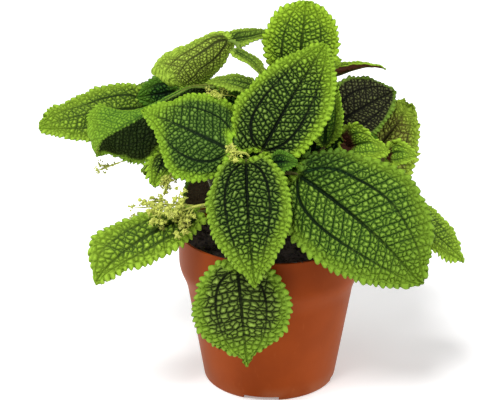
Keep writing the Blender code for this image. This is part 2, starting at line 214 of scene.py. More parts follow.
def shader(name, **sockets):
    """A material with its constant sockets set. Gives it, its shader, and a Wire to build it with."""
    made = bpy.data.materials.new(name)
    made.use_nodes = True
    surface = made.node_tree.nodes["Principled BSDF"]
    for key, value in sockets.items():
        surface.inputs[key.replace("_", " ")].default_value = value
    return made, surface, Wire(made.node_tree)


def feed(surface, **wires):
    """Links what changes over a surface to its shader."""
    for key, wire in wires.items():
        wire.tree.links.new(wire.socket, surface.inputs[key.replace("_", " ")])


def make_pot():
    """The shell with its foot's notches and drain holes cut out."""
    blank = placed("pot_blank", spun(rounded(POT_PROFILE, CORNER_STEPS), POT_STEPS))
    cut = bmesh.new()
    for i in range(NOTCHES):
        turn = NOTCH_TURN + i * 2 * pi / NOTCHES
        box = bmesh.ops.create_cube(cut, size=1)["verts"]
        deep, wide, high = NOTCH_SIZE
        shape = (Matrix.Rotation(turn, 4, "Z") @ Matrix.Translation((NOTCH_CIRCLE * MM, 0, 0))
                 @ Matrix.Diagonal((deep * MM, wide * MM, high * MM, 1)))
        bmesh.ops.transform(cut, matrix=shape, verts=box)
    for i in range(DRAINS):
        turn = NOTCH_TURN + (i + 0.5) * 2 * pi / DRAINS
        place = Vector((cos(turn), sin(turn), 0)) * DRAIN_CIRCLE * MM + Vector((0, 0, FLOOR_HEIGHT * MM))
        bmesh.ops.create_cone(
            cut, cap_ends=True, segments=DRAIN_SIDES, radius1=DRAIN_RADIUS * MM,
            radius2=DRAIN_RADIUS * MM, depth=DRAIN_DEPTH * MM, matrix=Matrix.Translation(place))
    cutter = placed("pot_cut", cut)
    knife = blank.modifiers.new("holes", "BOOLEAN")
    knife.operation, knife.object, knife.solver = "DIFFERENCE", cutter, "EXACT"
    bm = finished(blank)
    bpy.data.objects.remove(cutter)
    return bm


def pot_plastic():
    """Terracotta-coloured polypropylene: satin, faintly cloudy, with fine scuffs and a dusty foot."""
    made, surface, wire = shader(
        "pot_plastic", Specular_IOR_Level=0.045, Sheen_Weight=0.07, Sheen_Roughness=0.6,
        Sheen_Tint=(1.0, 0.62, 0.24, 1))
    where = wire.place()
    height = where.parts()[2] / MM
    cloud = where.clouds(38.0, 4.0)
    scuffs = where.streaks((420.0, 420.0, 60.0), 6.0)
    grain = where.clouds(2600.0, 2.0)
    body = cloud.step(0.3, 0.7).blend((0.222, 0.034, 0.0030), (0.254, 0.041, 0.0040))
    worn = scuffs.step(0.62, 0.78) * 0.35
    body = worn.blend(body, (0.32, 0.075, 0.020))
    dusty = (1 - height.step(1.0, 12.0)) * cloud.step(0.35, 0.65) * 0.35
    body = dusty.blend(body, (0.30, 0.13, 0.07))
    rough = 0.36 + cloud * 0.10 + scuffs.step(0.55, 0.75) * 0.12
    feed(surface, Base_Color=body, Roughness=rough,
         Normal=(grain * 0.6 + scuffs * 0.8).bump(0.25, 0.0001))
    return made


piece("pot_shell", make_pot(), pot_plastic(), "pot", "pot", sharp=35)

# ---------------------------------------------------------------------------------------------
# The peat: a root ball that fills the pot, its top crumbly and uneven, with loose crumbs and
# short fibres lying on it and a few left on the rim.

SOIL_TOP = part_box("soil")[1][2] / MM
SOIL_STEPS = 168
# The ball's outside, up the pot's inner wall: radius and height.
SOIL_SIDE = [(0, 4.75), (40.6, 4.75), (52.7, 67.2), (57.7, 79.5), (57.7, 91.0)]
SOIL_EDGE, SOIL_RINGS, SOIL_REST = 57.5, 64, 2.2
# How the top lies: how far it is raised, the height of its lumps and of its crumble, and how it
# sinks towards the wall.
RISE, LUMPS, CRUMBLE, SINK, SINK_FROM, SINK_OVER = 1.2, 1.3, 0.5, 1.2, 50, 8


def make_root_ball():
    """The ball of peat. Its flat top is made of rings, which are then raised in lumps and crumble."""
    top = [(SOIL_EDGE * (1 - (k / SOIL_RINGS) ** 0.9), SOIL_TOP - SOIL_REST)
           for k in range(SOIL_RINGS + 1)]
    bm = spun(SOIL_SIDE + top, SOIL_STEPS)
    for v in bm.verts:
        if v.co.z > (SOIL_TOP - 3.0) * MM:
            at = v.co / MM
            lumps = noise.fractal(at * 0.16, 0.9, 2.1, 6)
            fine = noise.fractal(at * 0.8, 0.8, 2.2, 4)
            edge = max(0.0, (at.xy.length - SINK_FROM) / SINK_OVER)
            v.co.z += (RISE + lumps * LUMPS + fine * CRUMBLE - edge * SINK) * MM
    return bm


def peat():
    """Damp peat: near black in its hollows, brown on its crumbs, with paler fibres."""
    made, surface, wire = shader("peat")
    where = wire.place()
    clump = where.clouds(420.0, 6.0)
    grain = where.clouds(2200.0, 4.0)
    fibre = where.streaks((3200.0, 420.0, 1500.0), 3.0, turn=(0.4, 0.2, 0.9))
    body = (clump * 0.6 + grain * 0.4).step(0.34, 0.68)
    body = body.blend((0.006, 0.0045, 0.0035), (0.052, 0.032, 0.020))
    body = (fibre.step(0.66, 0.76) * 0.6).blend(body, (0.15, 0.085, 0.042))
    feed(surface, Base_Color=body, Roughness=0.95 - grain * 0.2,
         Normal=(clump * 0.5 + grain * 0.5).bump(0.8, 0.0006))
    return made


PEAT = peat()
root_ball = piece("root_ball", make_root_ball(), PEAT, "soil", "soil")

CRUMBS, CRUMB_FIELD = 900, 56.0
CRUMB_SIZES = (0.5, 0.7, 0.7, 1.0, 1.0, 1.5, 2.2)
# The peat's height is read off in square patches, and only from its top.
PATCH, PEAT_ABOVE = 3, 88
# Crumbs left on the rim: the turn in degrees and the radius of each.
RIM_CRUMBS, RIM_CRUMB_SIZE = ((-75.6, 59.1), (-71, 59.2), (140, 59.1)), 0.75


def make_crumbs():
    """Loose crumbs, each at the height of the patch of peat under it, and a few on the rim."""
    draw = Random(11)
    bm = bmesh.new()
    ground = {}
    for v in root_ball.data.vertices:
        if v.co.z > PEAT_ABOVE * MM:
            ground[(round(v.co.x / MM / PATCH), round(v.co.y / MM / PATCH))] = v.co.z
    for _ in range(CRUMBS):
        turn, out = draw.uniform(0, 2 * pi), CRUMB_FIELD * sqrt(draw.random())
        size = draw.choice(CRUMB_SIZES)
        out = min(out, CRUMB_FIELD + 0.5 - size)
        x, y = cos(turn) * out, sin(turn) * out
        z = ground.get((round(x / PATCH), round(y / PATCH)), SOIL_TOP * MM) / MM
        add_crumb(bm, draw, Vector((x, y, z + size * 0.25)), size)
    for turn, out in RIM_CRUMBS:
        turn = radians(turn)
        at = Vector((cos(turn) * out, sin(turn) * out, POT_HEIGHT + 0.35))
        add_crumb(bm, draw, at, RIM_CRUMB_SIZE)
    return bm


def add_crumb(bm, draw, at, size):
    """A squashed, broken lump. Some of the small ones are drawn out into bits of fibre."""
    fine = 2 if size > 1.4 else 1
    lump = bmesh.ops.create_icosphere(bm, subdivisions=fine, radius=size * MM)["verts"]
    long = 3.0 if size < 0.8 and draw.random() < 0.4 else 1.2
    spin = Matrix.Rotation(draw.uniform(0, pi), 4, "Z")
    spin = spin @ Matrix.Rotation(draw.uniform(-0.5, 0.5), 4, "X")
    shape = Matrix.Translation(at * MM) @ spin @ Matrix.Diagonal((long, 1 / long ** 0.5, 0.7, 1))
    bmesh.ops.transform(bm, matrix=shape, verts=lump)
    for v in lump:
        v.co += (v.co - at * MM) * draw.uniform(-0.3, 0.3)


piece("peat_crumbs", make_crumbs(), PEAT, "soil", sharp=40)

# ---------------------------------------------------------------------------------------------
# The stems: soft, fleshy and a little hairy, brown-green, swollen at each joint where a pair of
# leaves grew. They are rooted in the peat and carry everything else.

STEMS = ("stem_front", "stem_tall", "stem_left", "stem_right", "stem_back_left", "stem_back_right")
STEM_ROWS, STEM_SIDES, STEM_ROOT = 72, 14, 3
# A stem's joints: how far apart, how long each swelling is, and how much stouter than the rest.
JOINT_GAPS, JOINT_LONG, JOINT_STOUT = (16, 21), 1.9, 0.30
# Corners round each ring of a plain solid.
RING = 8


def levels_from(pole):
    """The corners of a solid by how many edges lie between them and its pole."""
    seen, levels = {pole}, [[pole]]
    while levels[-1]:
        ring = {e.other_vert(v) for v in levels[-1] for e in v.link_edges} - seen
        levels.append(sorted(ring, key=lambda v: tuple(v.co)))
        seen |= ring
    return levels[:-1]


def rings_of(node):
    """The rings of eight corners round a solid, each starting at the same side of it."""
    bm = bmesh.new()
    bm.from_mesh(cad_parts[node].data)
    bmesh.ops.remove_doubles(bm, verts=bm.verts, dist=1e-5)
    poles = [v for v in bm.verts if len(v.link_edges) == RING]
    levels = next(found for found in map(levels_from, poles) if max(map(len, found)) == RING)
    rings = []
    for level in levels:
        walk, left = [level[0]], set(level[1:])
        while left:
            near = {e.other_vert(walk[-1]) for e in walk[-1].link_edges} & left
            step = min(near or left, key=lambda v: tuple(v.co))
            left.discard(step)
            walk.append(step)
        ring = [v.co.copy() for v in walk]
        if rings and len(rings[-1]) == RING and 1 < len(ring) < RING:
            shift = middle(ring) - middle(rings[-1])
            ring = [min(ring, key=lambda co: (co - shift - last).length).copy() for last in rings[-1]]
        elif rings and len(rings[-1]) == len(ring):
            turns = [ring[k:] + ring[:k] for k in range(len(ring))]
            turns += [turn[::-1] for turn in turns]
            ring = min(turns, key=lambda turn: sum((a - b).length for a, b in zip(turn, rings[-1])))
        rings.append(ring)
    bm.free()
    return rings


def middle(ring):
    return sum(ring, Vector()) / len(ring)


def along(points, place):
    """A smooth curve through points, at a place counted in points from the first."""
    i = max(0, min(int(place), len(points) - 2))
    f = place - i
    b, c = points[i], points[i + 1]
    a = points[i - 1] if i else b * 2 - c
    d = points[i + 2] if i + 2 < len(points) else c * 2 - b
    return (b * 2 + (c - a) * f + (a * 2 - b * 5 + c * 4 - d) * f * f
            + (b * 3 - a - c * 3 + d) * f ** 3) / 2


def add_tube(bm, path, radii, sides):
    """A round tube over a path: a grid wrapped round it. A radius of 0 closes an end."""
    rows = len(path) - 1
    verts = bmesh.ops.create_grid(bm, x_segments=sides, y_segments=rows, size=1)["verts"]
    faces = {f for v in verts for f in v.link_faces}
    layer = bm.loops.layers.uv.active
    if layer:
        for face in faces:
            for loop in face.loops:
                loop[layer].uv = (loop.vert.co.x / 2 + 0.5, loop.vert.co.y / 2 + 0.5)
    frames, side = [], None
    for i, centre in enumerate(path):
        ahead = (path[min(i + 1, rows)] - path[max(i - 1, 0)]).normalized()
        side = ahead.orthogonal() if side is None else side
        side = (side - ahead * side.dot(ahead)).normalized()
        frames.append((centre, side, ahead.cross(side)))
    for v in verts:
        row = round((v.co.y + 1) / 2 * rows)
        turn = pi * (v.co.x + 1)
        centre, side, up = frames[row]
        v.co = centre + (side * cos(turn) + up * sin(turn)) * radii[row]
    bmesh.ops.remove_doubles(bm, verts=verts, dist=1e-7)
    return faces


def make_stem(node, draw):
    """A stem over its plain solid, set into the peat, with a swelling at each joint."""
    rings = rings_of(node)
    if rings[0][0].z > rings[-1][0].z:
        rings.reverse()
    centres = [middle(ring) for ring in rings]
    girth = [(ring[0] - ring[len(ring) // 2]).length / 2 for ring in rings]
    centres.insert(0, centres[0] - Vector((0, 0, STEM_ROOT * MM)))
    girth.insert(0, girth[0])
    places = [(len(centres) - 1) * k / STEM_ROWS for k in range(STEM_ROWS + 1)]
    path = [along(centres, place) for place in places]
    reach = [0.0]
    for a, b in zip(path, path[1:]):
        reach.append(reach[-1] + (b - a).length / MM)
    joint = draw.uniform(*JOINT_GAPS)
    radii = []
    for place, far in zip(places, reach):
        i = min(int(place), len(girth) - 2)
        size = girth[i] + (girth[i + 1] - girth[i]) * (place - i)
        swell = exp(-(((far / joint) % 1 - 0.5) * joint / JOINT_LONG) ** 2)
        radii.append(size * (0.90 + JOINT_STOUT * swell + 0.04 * sin(far * 1.3)))
    radii[0] = radii[-1] = 0.0
    bm = bmesh.new()
    bm.loops.layers.uv.new("OFBake")
    add_tube(bm, path, radii, STEM_SIDES)
    return bm


def stem_skin():
    """Brown-green skin in darker and lighter patches, with a few pale specks and a fine down."""
    made, surface, wire = shader("stem_skin")
    where = wire.place()
    patch = where.clouds(90.0, 4.0)
    down = where.streaks((3000.0, 3000.0, 500.0), 3.0)
    body = patch.step(0.35, 0.68).blend((0.050, 0.040, 0.014), (0.13, 0.14, 0.040))
    body = (down.step(0.6, 0.75) * 0.45).blend(body, (0.25, 0.24, 0.12))
    feed(surface, Base_Color=body, Roughness=0.5 + patch * 0.2, Normal=down.bump(0.5, 0.0002))
    return made


STEM_SKIN = stem_skin()
stem_draw = Random(5)
for stem in STEMS:
    piece("visible_" + stem, make_stem(stem, stem_draw), STEM_SKIN, "stem", stem)

# ---------------------------------------------------------------------------------------------
# The leaves: soft quilted blades on fleshy stalks. Each grew in one piece: a near-black midrib with
# an arched vein on each side, domes of leaf between the net of small veins, and round teeth.

BLADE_ROWS = 11
SHEET = 0.5
# Rows stand a little closer than the spacing says, most of all near the stalk.
CROWDING = 1.22
# Teeth: how gaps and sizes vary, how much closer teeth stand at the tip, how they start and end along
# the edge, how they lean and round, how much lies inside the outline, how far they point forward,
# and how far into the blade they pull.
TOOTH_GAPS, TOOTH_SIZES, TOOTH_CLOSER, TOOTH_LAST = (0.75, 1.25), (0.65, 1.3), 0.25, 0.6
TEETH_START, TEETH_END = 5.0, 1.5
TOOTH_LEAN, TOOTH_ROUND, TOOTH_INSIDE, TOOTH_FORWARD = 1.4, 0.75, 0.3, 0.4
TOOTH_REACH, TOOTH_PULL = 2.4, 1.3
# The edge is followed in short steps, and drifts in and out between the teeth.
EDGE_STEP, DRIFT, DRIFT_EVERY = 0.16, 1.3, 11
# The arched vein: how far out it lies, how soon it gets there, and how it comes in again.
ARCH_OUT, ARCH_START, ARCH_IN = 0.57, 0.065, 0.22
# The net of small veins: its cells, how loose they are, how far they stray and shake, and how far
# apart in the pattern each leaf and each half of one takes its own.
CELL_LONG, CELL_WIDE, CELL_LOOSE = 3.0, 3.3, 0.88
STRAY_UP, STRAY_OUT, SHAKE = 2.2, 1.5, 1.3
LEAF_SHIFT, HALF_SHIFT = 7.0, 31.0
PUFFS, PUFF_EDGE = 2.1, 0.34
# The net ends at a vein inside the edge. From there a groove runs out to each notch.
NET_END, BAND_AT, BAND_LIFT = (1.9, 3.1), 2.5, 0.32
RIB_THINS, DOME_RUN = 0.78, 1.45
# How a net is woven: cells between one branch vein and the next, how stout its main veins are, how
# far its cells are broken into puffs and stretched across, and how steeply branch veins rise.
PLAIN_WEAVE = (2, 1.0, 0.0, 1.0, radians(27))
BROAD_WEAVE = (2, 1.0, 0.36, 1.0, radians(27))
CROSS_WEAVE = (2, 0.75, 0.15, 1.35, radians(10))
FRONT_WEAVE = (2, 0.85, 0.10, 1.18, radians(17))
WEAVES = {"leaf_right": BROAD_WEAVE, "leaf_pot": CROSS_WEAVE, "leaf_front": FRONT_WEAVE}
# The stalk and the rib under the blade.
STALK_RADIUS, STALK_ROWS, FOOT_SWELL = 1.15, 22, 0.18
RIB_ROWS, RIB_END, RIB_TIP, RIB_SINK, RIB_SIDES = 31, 0.87, 0.12, 0.55, 10
# A leaf's map: its upper face, its lower face beside it, and a strip for stalk and rib.
MAP_EDGE, MAP_WIDE, MAP_HIGH, MAP_UNDER = 0.006, 0.465, 0.985, 0.478
STRIP_AT, STRIP_WIDE = 0.962, 0.034


def blade_net(node):
    """A leaf's stalk centres, and its blade's rows of five points on top, left edge to right edge."""
    rings = rings_of(node)

    def size(ring):
        return (ring[0] - ring[4]).length + (ring[2] - ring[6]).length

    if size(rings[4]) > size(rings[-5]):
        rings.reverse()
    wide = rings[9]
    edge = max(range(RING), key=lambda k: (wide[k] - wide[(k + 4) % RING]).length)
    after, before = ((wide[edge] - wide[(edge + k) % RING]).length for k in (1, -1))
    way = 1 if after < before else -1
    columns = [(edge + way * k) % RING for k in range(5)]
    under = (edge - way * 2) % RING
    across = wide[columns[4]] - wide[columns[0]]
    ahead = middle(rings[11]) - middle(rings[7])
    if across.cross(ahead).dot(wide[columns[2]] - wide[under]) < 0:
        columns.reverse()
    rows = [[ring[k] for k in columns] for ring in rings[4:15]] + [[rings[15][0]] * 5]
    stalk = [middle(ring) for ring in rings[:5]]
    return stalk, rows


def across_row(row, s):
    """A point on a row of five, at s from -1 at its left edge to 1 at its right. It may crease at 0."""
    centre, half, edge = row[2:] if s >= 0 else row[2::-1]
    s = abs(s)
    return centre * (2 * (s - 0.5) * (s - 1)) + half * (-4 * s * (s - 1)) + edge * (2 * s * (s - 0.5))


def row_at(rows, t):
    """A blade's row at t, from 0 at the stalk to 1 at the tip, and its place among the plain rows."""
    place = BLADE_ROWS * acos(max(-1.0, min(1.0, 1 - 2 * t))) / pi
    return [along([row[k] for row in rows], place) for k in range(5)], place


def eased(pushes, row):
    """A push in mm, evened out between the rows it is given for, and 0 at an end it isn't given for."""
    stops = sorted(({0: (0, 0, 0), BLADE_ROWS: (0, 0, 0)} | dict(pushes)).items())
    for (start, first), (end, last) in zip(stops, stops[1:]):
        if row <= end:
            return Vector(first).lerp(Vector(last), (row - start) / (end - start)) * MM


def bent(stalk, rows, spine=(), left=(), right=()):
    """A leaf whose spine and edges are pushed. Its stalk follows the spine."""
    laid = []
    for i, row in enumerate(rows):
        whole, edges = eased(spine, i), (eased(left, i), eased(right, i))
        laid.append([point + whole + edges[k > 2] * abs(k - 2) / 2 for k, point in enumerate(row)])
    return [point + eased(spine, 0) * (i / 4) ** 2 for i, point in enumerate(stalk)], laid


def notches(length, pitch, draw):
    """Where the teeth along an edge part, in mm from the stalk."""
    places, at = [0.0], 0.0
    while at < length - pitch * TOOTH_LAST:
        at += pitch * draw.uniform(*TOOTH_GAPS) * (1 - TOOTH_CLOSER * at / length)
        places.append(at)
    return places


def teeth(points, s, pitch, depth, draw, seed):
    """What turns an edge into teeth: points along it, the push at each, and how near a notch is."""
    arc = [0.0]
    for a, b in zip(points, points[1:]):
        arc.append(arc[-1] + (b - a).length)
    far = arc[-1]
    gaps = notches(far, pitch, draw)
    sizes = [draw.uniform(*TOOTH_SIZES) for _ in gaps]
    edge = []
    for j, (here, there) in enumerate(zip(points, points[1:])):
        steps = max(1, ceil((arc[j + 1] - arc[j]) / EDGE_STEP))
        way = (there - here).normalized()
        out = Vector((way.y, -way.x, 0)) * s
        for k in range(steps):
            at = arc[j] + (arc[j + 1] - arc[j]) * (k / steps)
            i = max(n for n, gap in enumerate(gaps) if gap <= at)
            end = gaps[i + 1] if i + 1 < len(gaps) else far + 0.6
            f = min(1.0, (at - gaps[i]) / (end - gaps[i]))
            fade = min(1.0, at / TEETH_START) * min(1.0, (far - at) / TEETH_END + 0.2)
            height = depth * sizes[i] * fade * max(0.0, sin(pi * f ** TOOTH_LEAN)) ** TOOTH_ROUND
            drift = noise.noise(Vector((at / DRIFT_EVERY, seed * 0.61, s * 5.0))) * DRIFT * fade
            push = out * (height - depth * TOOTH_INSIDE * fade + drift) + way * height * TOOTH_FORWARD
            edge.append((here.lerp(there, k / steps), push, min(at - gaps[i], end - at)))
    return edge


def lay_blade(rows, spacing, pitch, depth, draw, seed):
    """The blade as a sheet of one layer, with its flat map and its veins kept in each corner."""
    length = sum((b[2] - a[2]).length for a, b in zip(rows, rows[1:])) / MM
    widest = max((row[4] - row[2]).length + (row[2] - row[0]).length for row in rows) / MM
    wide_steps = 2 * ceil(widest / spacing / 2)
    long_steps = ceil(CROWDING * length / spacing)
    laid, reach = [], 0.0
    for j in range(long_steps + 1):
        f = j / long_steps
        t = 2 * f * f - f ** 3
        row, _ = row_at(rows, t)
        if laid:
            reach += (row[2] - laid[-1][1][2]).length / MM
        halves = [((row[2] - row[2 + s]).length + (row[2 + s] - row[2 + 2 * s]).length) / MM
                  for s in (-1, 1)]
        laid.append((t, row, reach, halves))

    def flat(j, s):
        """Where a corner lies in mm, across and along, if the blade is laid flat."""
        _, row, far, halves = laid[j]
        before, after = laid[max(j - 1, 0)][1][2], laid[min(j + 1, long_steps)][1][2]
        ahead = (after - before).normalized()
        back = (across_row(row, s) - row[2]).dot(ahead) / MM
        return Vector((s * halves[s > 0], far + back, 0))

    edges = []
    for s in (-1, 1):
        edges += teeth([flat(j, s) for j in range(long_steps + 1)], s, pitch, depth, draw, seed)
    tree = KDTree(len(edges))
    for i, edge in enumerate(edges):
        tree.insert(edge[0], i)
    tree.balance()

    bm = bmesh.new()
    sheet = bm.verts.layers.float_vector.new("sheet")
    veins = bm.verts.layers.float_vector.new("veins")
    rank = bm.verts.layers.float.new("rank")
    bmesh.ops.create_grid(bm, x_segments=wide_steps, y_segments=long_steps, size=1)
    for v in bm.verts:
        s = round((v.co.x + 1) / 2 * wide_steps) / wide_steps * 2 - 1
        j = round((v.co.y + 1) / 2 * long_steps)
        t, row, _, halves = laid[j]
        where = flat(j, s)
        _, i, away = tree.find(where)
        _, push, gap = edges[i]
        v.co = across_row(row, s)
        if away < TOOTH_REACH:
            pull = (1 - away / TOOTH_REACH) ** TOOTH_PULL
            aside = (across_row(row, s + 0.02) - across_row(row, s - 0.02)).normalized()
            later = laid[min(j + 1, long_steps)][1]
            earlier = laid[max(j - 1, 0)][1]
            on = across_row(later, s) - across_row(earlier, s)
            on = (on - aside * on.dot(aside)).normalized()
            v.co += (aside * push.x + on * push.y) * pull * MM
            where += push * pull
        arch = ARCH_OUT * halves[s > 0] * (1 - exp(-t / ARCH_START)) * (1 - ARCH_IN * t)
        v[sheet] = where
        v[rank] = t
        v[veins] = (abs(where.x) - arch, away, gap)
    return bm


def quilting(attribute, rank, weave):
    """The blade's relief: distances in mm to each kind of groove, and how high a dome stands.

    attribute reads what each corner keeps, so that mesh and skin share one pattern.
    """
    rungs, stout, grain, stretch, slant = weave
    sheet = attribute("sheet")
    x, y, seed = sheet.parts()
    lateral, margin, gap = attribute("veins").parts()
    wander = sheet.clouds(0.16, 2.0) - 0.5
    wobble, sway = (sheet.clouds(scale, 1.0) - 0.5 for scale in (0.55, 0.47))
    aside = abs(x)
    rise = y * cos(slant) - aside * sin(slant) + wander * STRAY_UP + wobble * SHAKE
    run = aside * cos(slant) + y * sin(slant) + wander * STRAY_OUT + sway * SHAKE
    at = x.node("ShaderNodeCombineXYZ", inputs={
        0: run / (CELL_WIDE * stretch) + seed * LEAF_SHIFT + x.math("SIGN", x) * HALF_SHIFT,
        1: rise / CELL_LONG, 2: seed})
    cells, puffs = (x.node("ShaderNodeTexVoronoi", {
        "voronoi_dimensions": "2D", "feature": "DISTANCE_TO_EDGE"}, {
            "Vector": at, "Scale": scale, "Randomness": CELL_LOOSE}) for scale in (1.0, PUFFS))
    net = cells * CELL_WIDE
    puff = 1 - (1 - (puffs / PUFF_EDGE).low(1.0)) * grain
    turn = rise / (CELL_LONG * rungs) - (0.5 + CELL_LOOSE / 2) / rungs + 0.5
    side = abs(turn.math("FRACT", turn) - 0.5) * (CELL_LONG * rungs)
    inside = margin.step(*NET_END)
    band = abs(margin - BAND_AT) + BAND_LIFT
    net = (net + (1 - inside) * 3.0).low(gap * 0.9 + inside * 3.0)
    side = side + (1 - inside) * 3.0
    # A dome rises from the nearest groove, and less steeply from a stout vein.
    thick = (1 - rank * RIB_THINS) * stout
    beside = (abs(lateral) - thick * 0.50).high(0.0)
    groove = net.low(side * 0.95).low(band * 1.3).low(beside * 0.8).low(margin * 1.1 + 0.30)
    groove = groove.low((aside - thick * 0.70).high(0.0) * 0.65)
    slope = (groove / DOME_RUN).low(1.0)
    return {"x": x, "aside": aside, "margin": margin, "net": net, "band": band, "side": side,
            "lateral": abs(lateral), "thick": thick, "puff": puff,
            "dome": 1 - (1 - slope) * (1 - slope)}


def quilt(bm, name, relief, wave, weave):
    """Raises the domes of a blade between its grooves, and lets the whole blade wave a little."""
    blank = placed(name, bm)
    tree = bpy.data.node_groups.new(name, "GeometryNodeTree")
    for way in ("INPUT", "OUTPUT"):
        tree.interface.new_socket("Geometry", in_out=way, socket_type="NodeSocketGeometry")
    wire = Wire(tree)

    def attribute(key, kind="FLOAT_VECTOR"):
        return wire.node("GeometryNodeInputNamedAttribute", {"data_type": kind}, {"Name": key})

    q = quilting(attribute, attribute("rank", "FLOAT"), weave)
    sheet = attribute("sheet")
    lumps, swell, ruffle = (sheet.clouds(scale, 1.0) - 0.5 for scale in (0.33, 0.055, 0.11))
    trough = 1 - q["aside"].step(0.0, 4.0)
    free = 1 - q["margin"].step(0.0, 9.0)
    drift = (swell * 1.6 + ruffle * free * 3.0) * q["aside"].step(0.5, 6.0)
    height = q["dome"] * (relief + lumps * relief * 0.8) + drift * wave - trough * 0.35
    offset = wire.node("ShaderNodeVectorMath", {"operation": "SCALE"}, {
        0: wire.node("GeometryNodeInputNormal"), "Scale": height * MM})
    start, end = tree.nodes.new("NodeGroupInput"), tree.nodes.new("NodeGroupOutput")
    moved = wire.node("GeometryNodeSetPosition", {}, {
        "Geometry": Wire(tree, start.outputs[0]), "Offset": offset})
    tree.links.new(moved.socket, end.inputs[0])
    blank.modifiers.new("quilt", "NODES").node_group = tree
    bm = finished(blank)
    bpy.data.node_groups.remove(tree)
    return bm


def make_leaf(name, stalk, rows, spacing, pitch, depth, cell, relief, wave, seed):
    """A whole leaf: its quilted blade, and the stalk and rib under it.

    spacing is how far apart the blade's corners lie. pitch and depth are those of its teeth. cell is
    the size of its pattern against a full-grown leaf's. relief and wave are how high its domes and its
    waves stand. All but cell are in mm.
    """
    draw = Random(seed)
    bm = lay_blade(rows, spacing, pitch, depth, draw, seed)
    sheet = bm.verts.layers.float_vector["sheet"]
    veins = bm.verts.layers.float_vector["veins"]
    for v in bm.verts:
        v[sheet] = Vector((v[sheet].x / cell, v[sheet].y / cell, seed % 97 * 0.37))
        v[veins] = v[veins] / cell
    bmesh.ops.remove_doubles(bm, verts=bm.verts, dist=1e-6)
    bm = quilt(bm, name + "_sheet", relief, wave, WEAVES.get(name, PLAIN_WEAVE))
    sheet = bm.verts.layers.float_vector["sheet"]
    veins = bm.verts.layers.float_vector["veins"]
    side = bm.verts.layers.float.new("side")
    layer = bm.loops.layers.uv.new("OFBake")
    top, above = set(bm.faces), set(bm.verts)
    whole = bm.faces[:] + bm.edges[:] + bm.verts[:]
    twin = bmesh.ops.extrude_face_region(bm, geom=whole, use_keep_orig=True)
    for v in twin["geom"]:
        if isinstance(v, bmesh.types.BMVert):
            v.co -= v.normal * SHEET * MM
    bmesh.ops.recalc_face_normals(bm, faces=bm.faces)
    low, high = (Vector((end(v[sheet].x for v in bm.verts), end(v[sheet].y for v in bm.verts), 0))
                 for end in (min, max))
    scale = min(MAP_WIDE / (high.x - low.x), MAP_HIGH / (high.y - low.y))
    # side tells the skin what it is on: 0 the upper face, 1 the lower face, 2 the stalk and the rib.
    for v in bm.verts:
        v[side] = 0.0 if v in above else 1.0
    for face in bm.faces:
        under = face not in top and not any(v in above for v in face.verts)
        for loop in face.loops:
            flat = (loop.vert[sheet] - low) * scale
            loop[layer].uv = (flat.x + MAP_EDGE + MAP_UNDER * under, flat.y + MAP_EDGE)

    path = [along(stalk, 4 * k / STALK_ROWS) for k in range(STALK_ROWS + 1)]
    radii = [STALK_RADIUS * (1 + FOOT_SWELL * exp(-(k / 4) ** 2)) if k else 0.0
             for k in range(STALK_ROWS + 1)]
    spine = [row[2] for row in rows]
    for k in range(1, RIB_ROWS):
        t = (k / RIB_ROWS) ** 1.3 * RIB_END
        row, place = row_at(rows, t)
        later = along(spine, min(place + 0.05, BLADE_ROWS))
        down = (later - row[2]).cross(row[4] - row[0]).normalized()
        radius = STALK_RADIUS * (1 - t) ** 0.8 * 0.85 + RIB_TIP
        path.append(row[2] + down * (radius + RIB_SINK) * MM)
        radii.append(radius)
    radii[-1] = 0.0
    for face in add_tube(bm, path, [r * MM for r in radii], RIB_SIDES):
        for loop in face.loops:
            u, v = loop[layer].uv
            loop.vert[side] = 2.0
            loop.vert[veins] = Vector((9, 9, 9))
            loop.vert[sheet] = Vector((0, v * 60, 0.3))
            loop[layer].uv = (STRIP_AT + u * STRIP_WIDE, MAP_EDGE + v * MAP_HIGH)
    return bm


BROWN_STALK = ((0.070, 0.065, 0.020), (0.14, 0.15, 0.040))
GREEN_STALK = ((0.120, 0.190, 0.030), (0.190, 0.290, 0.042))


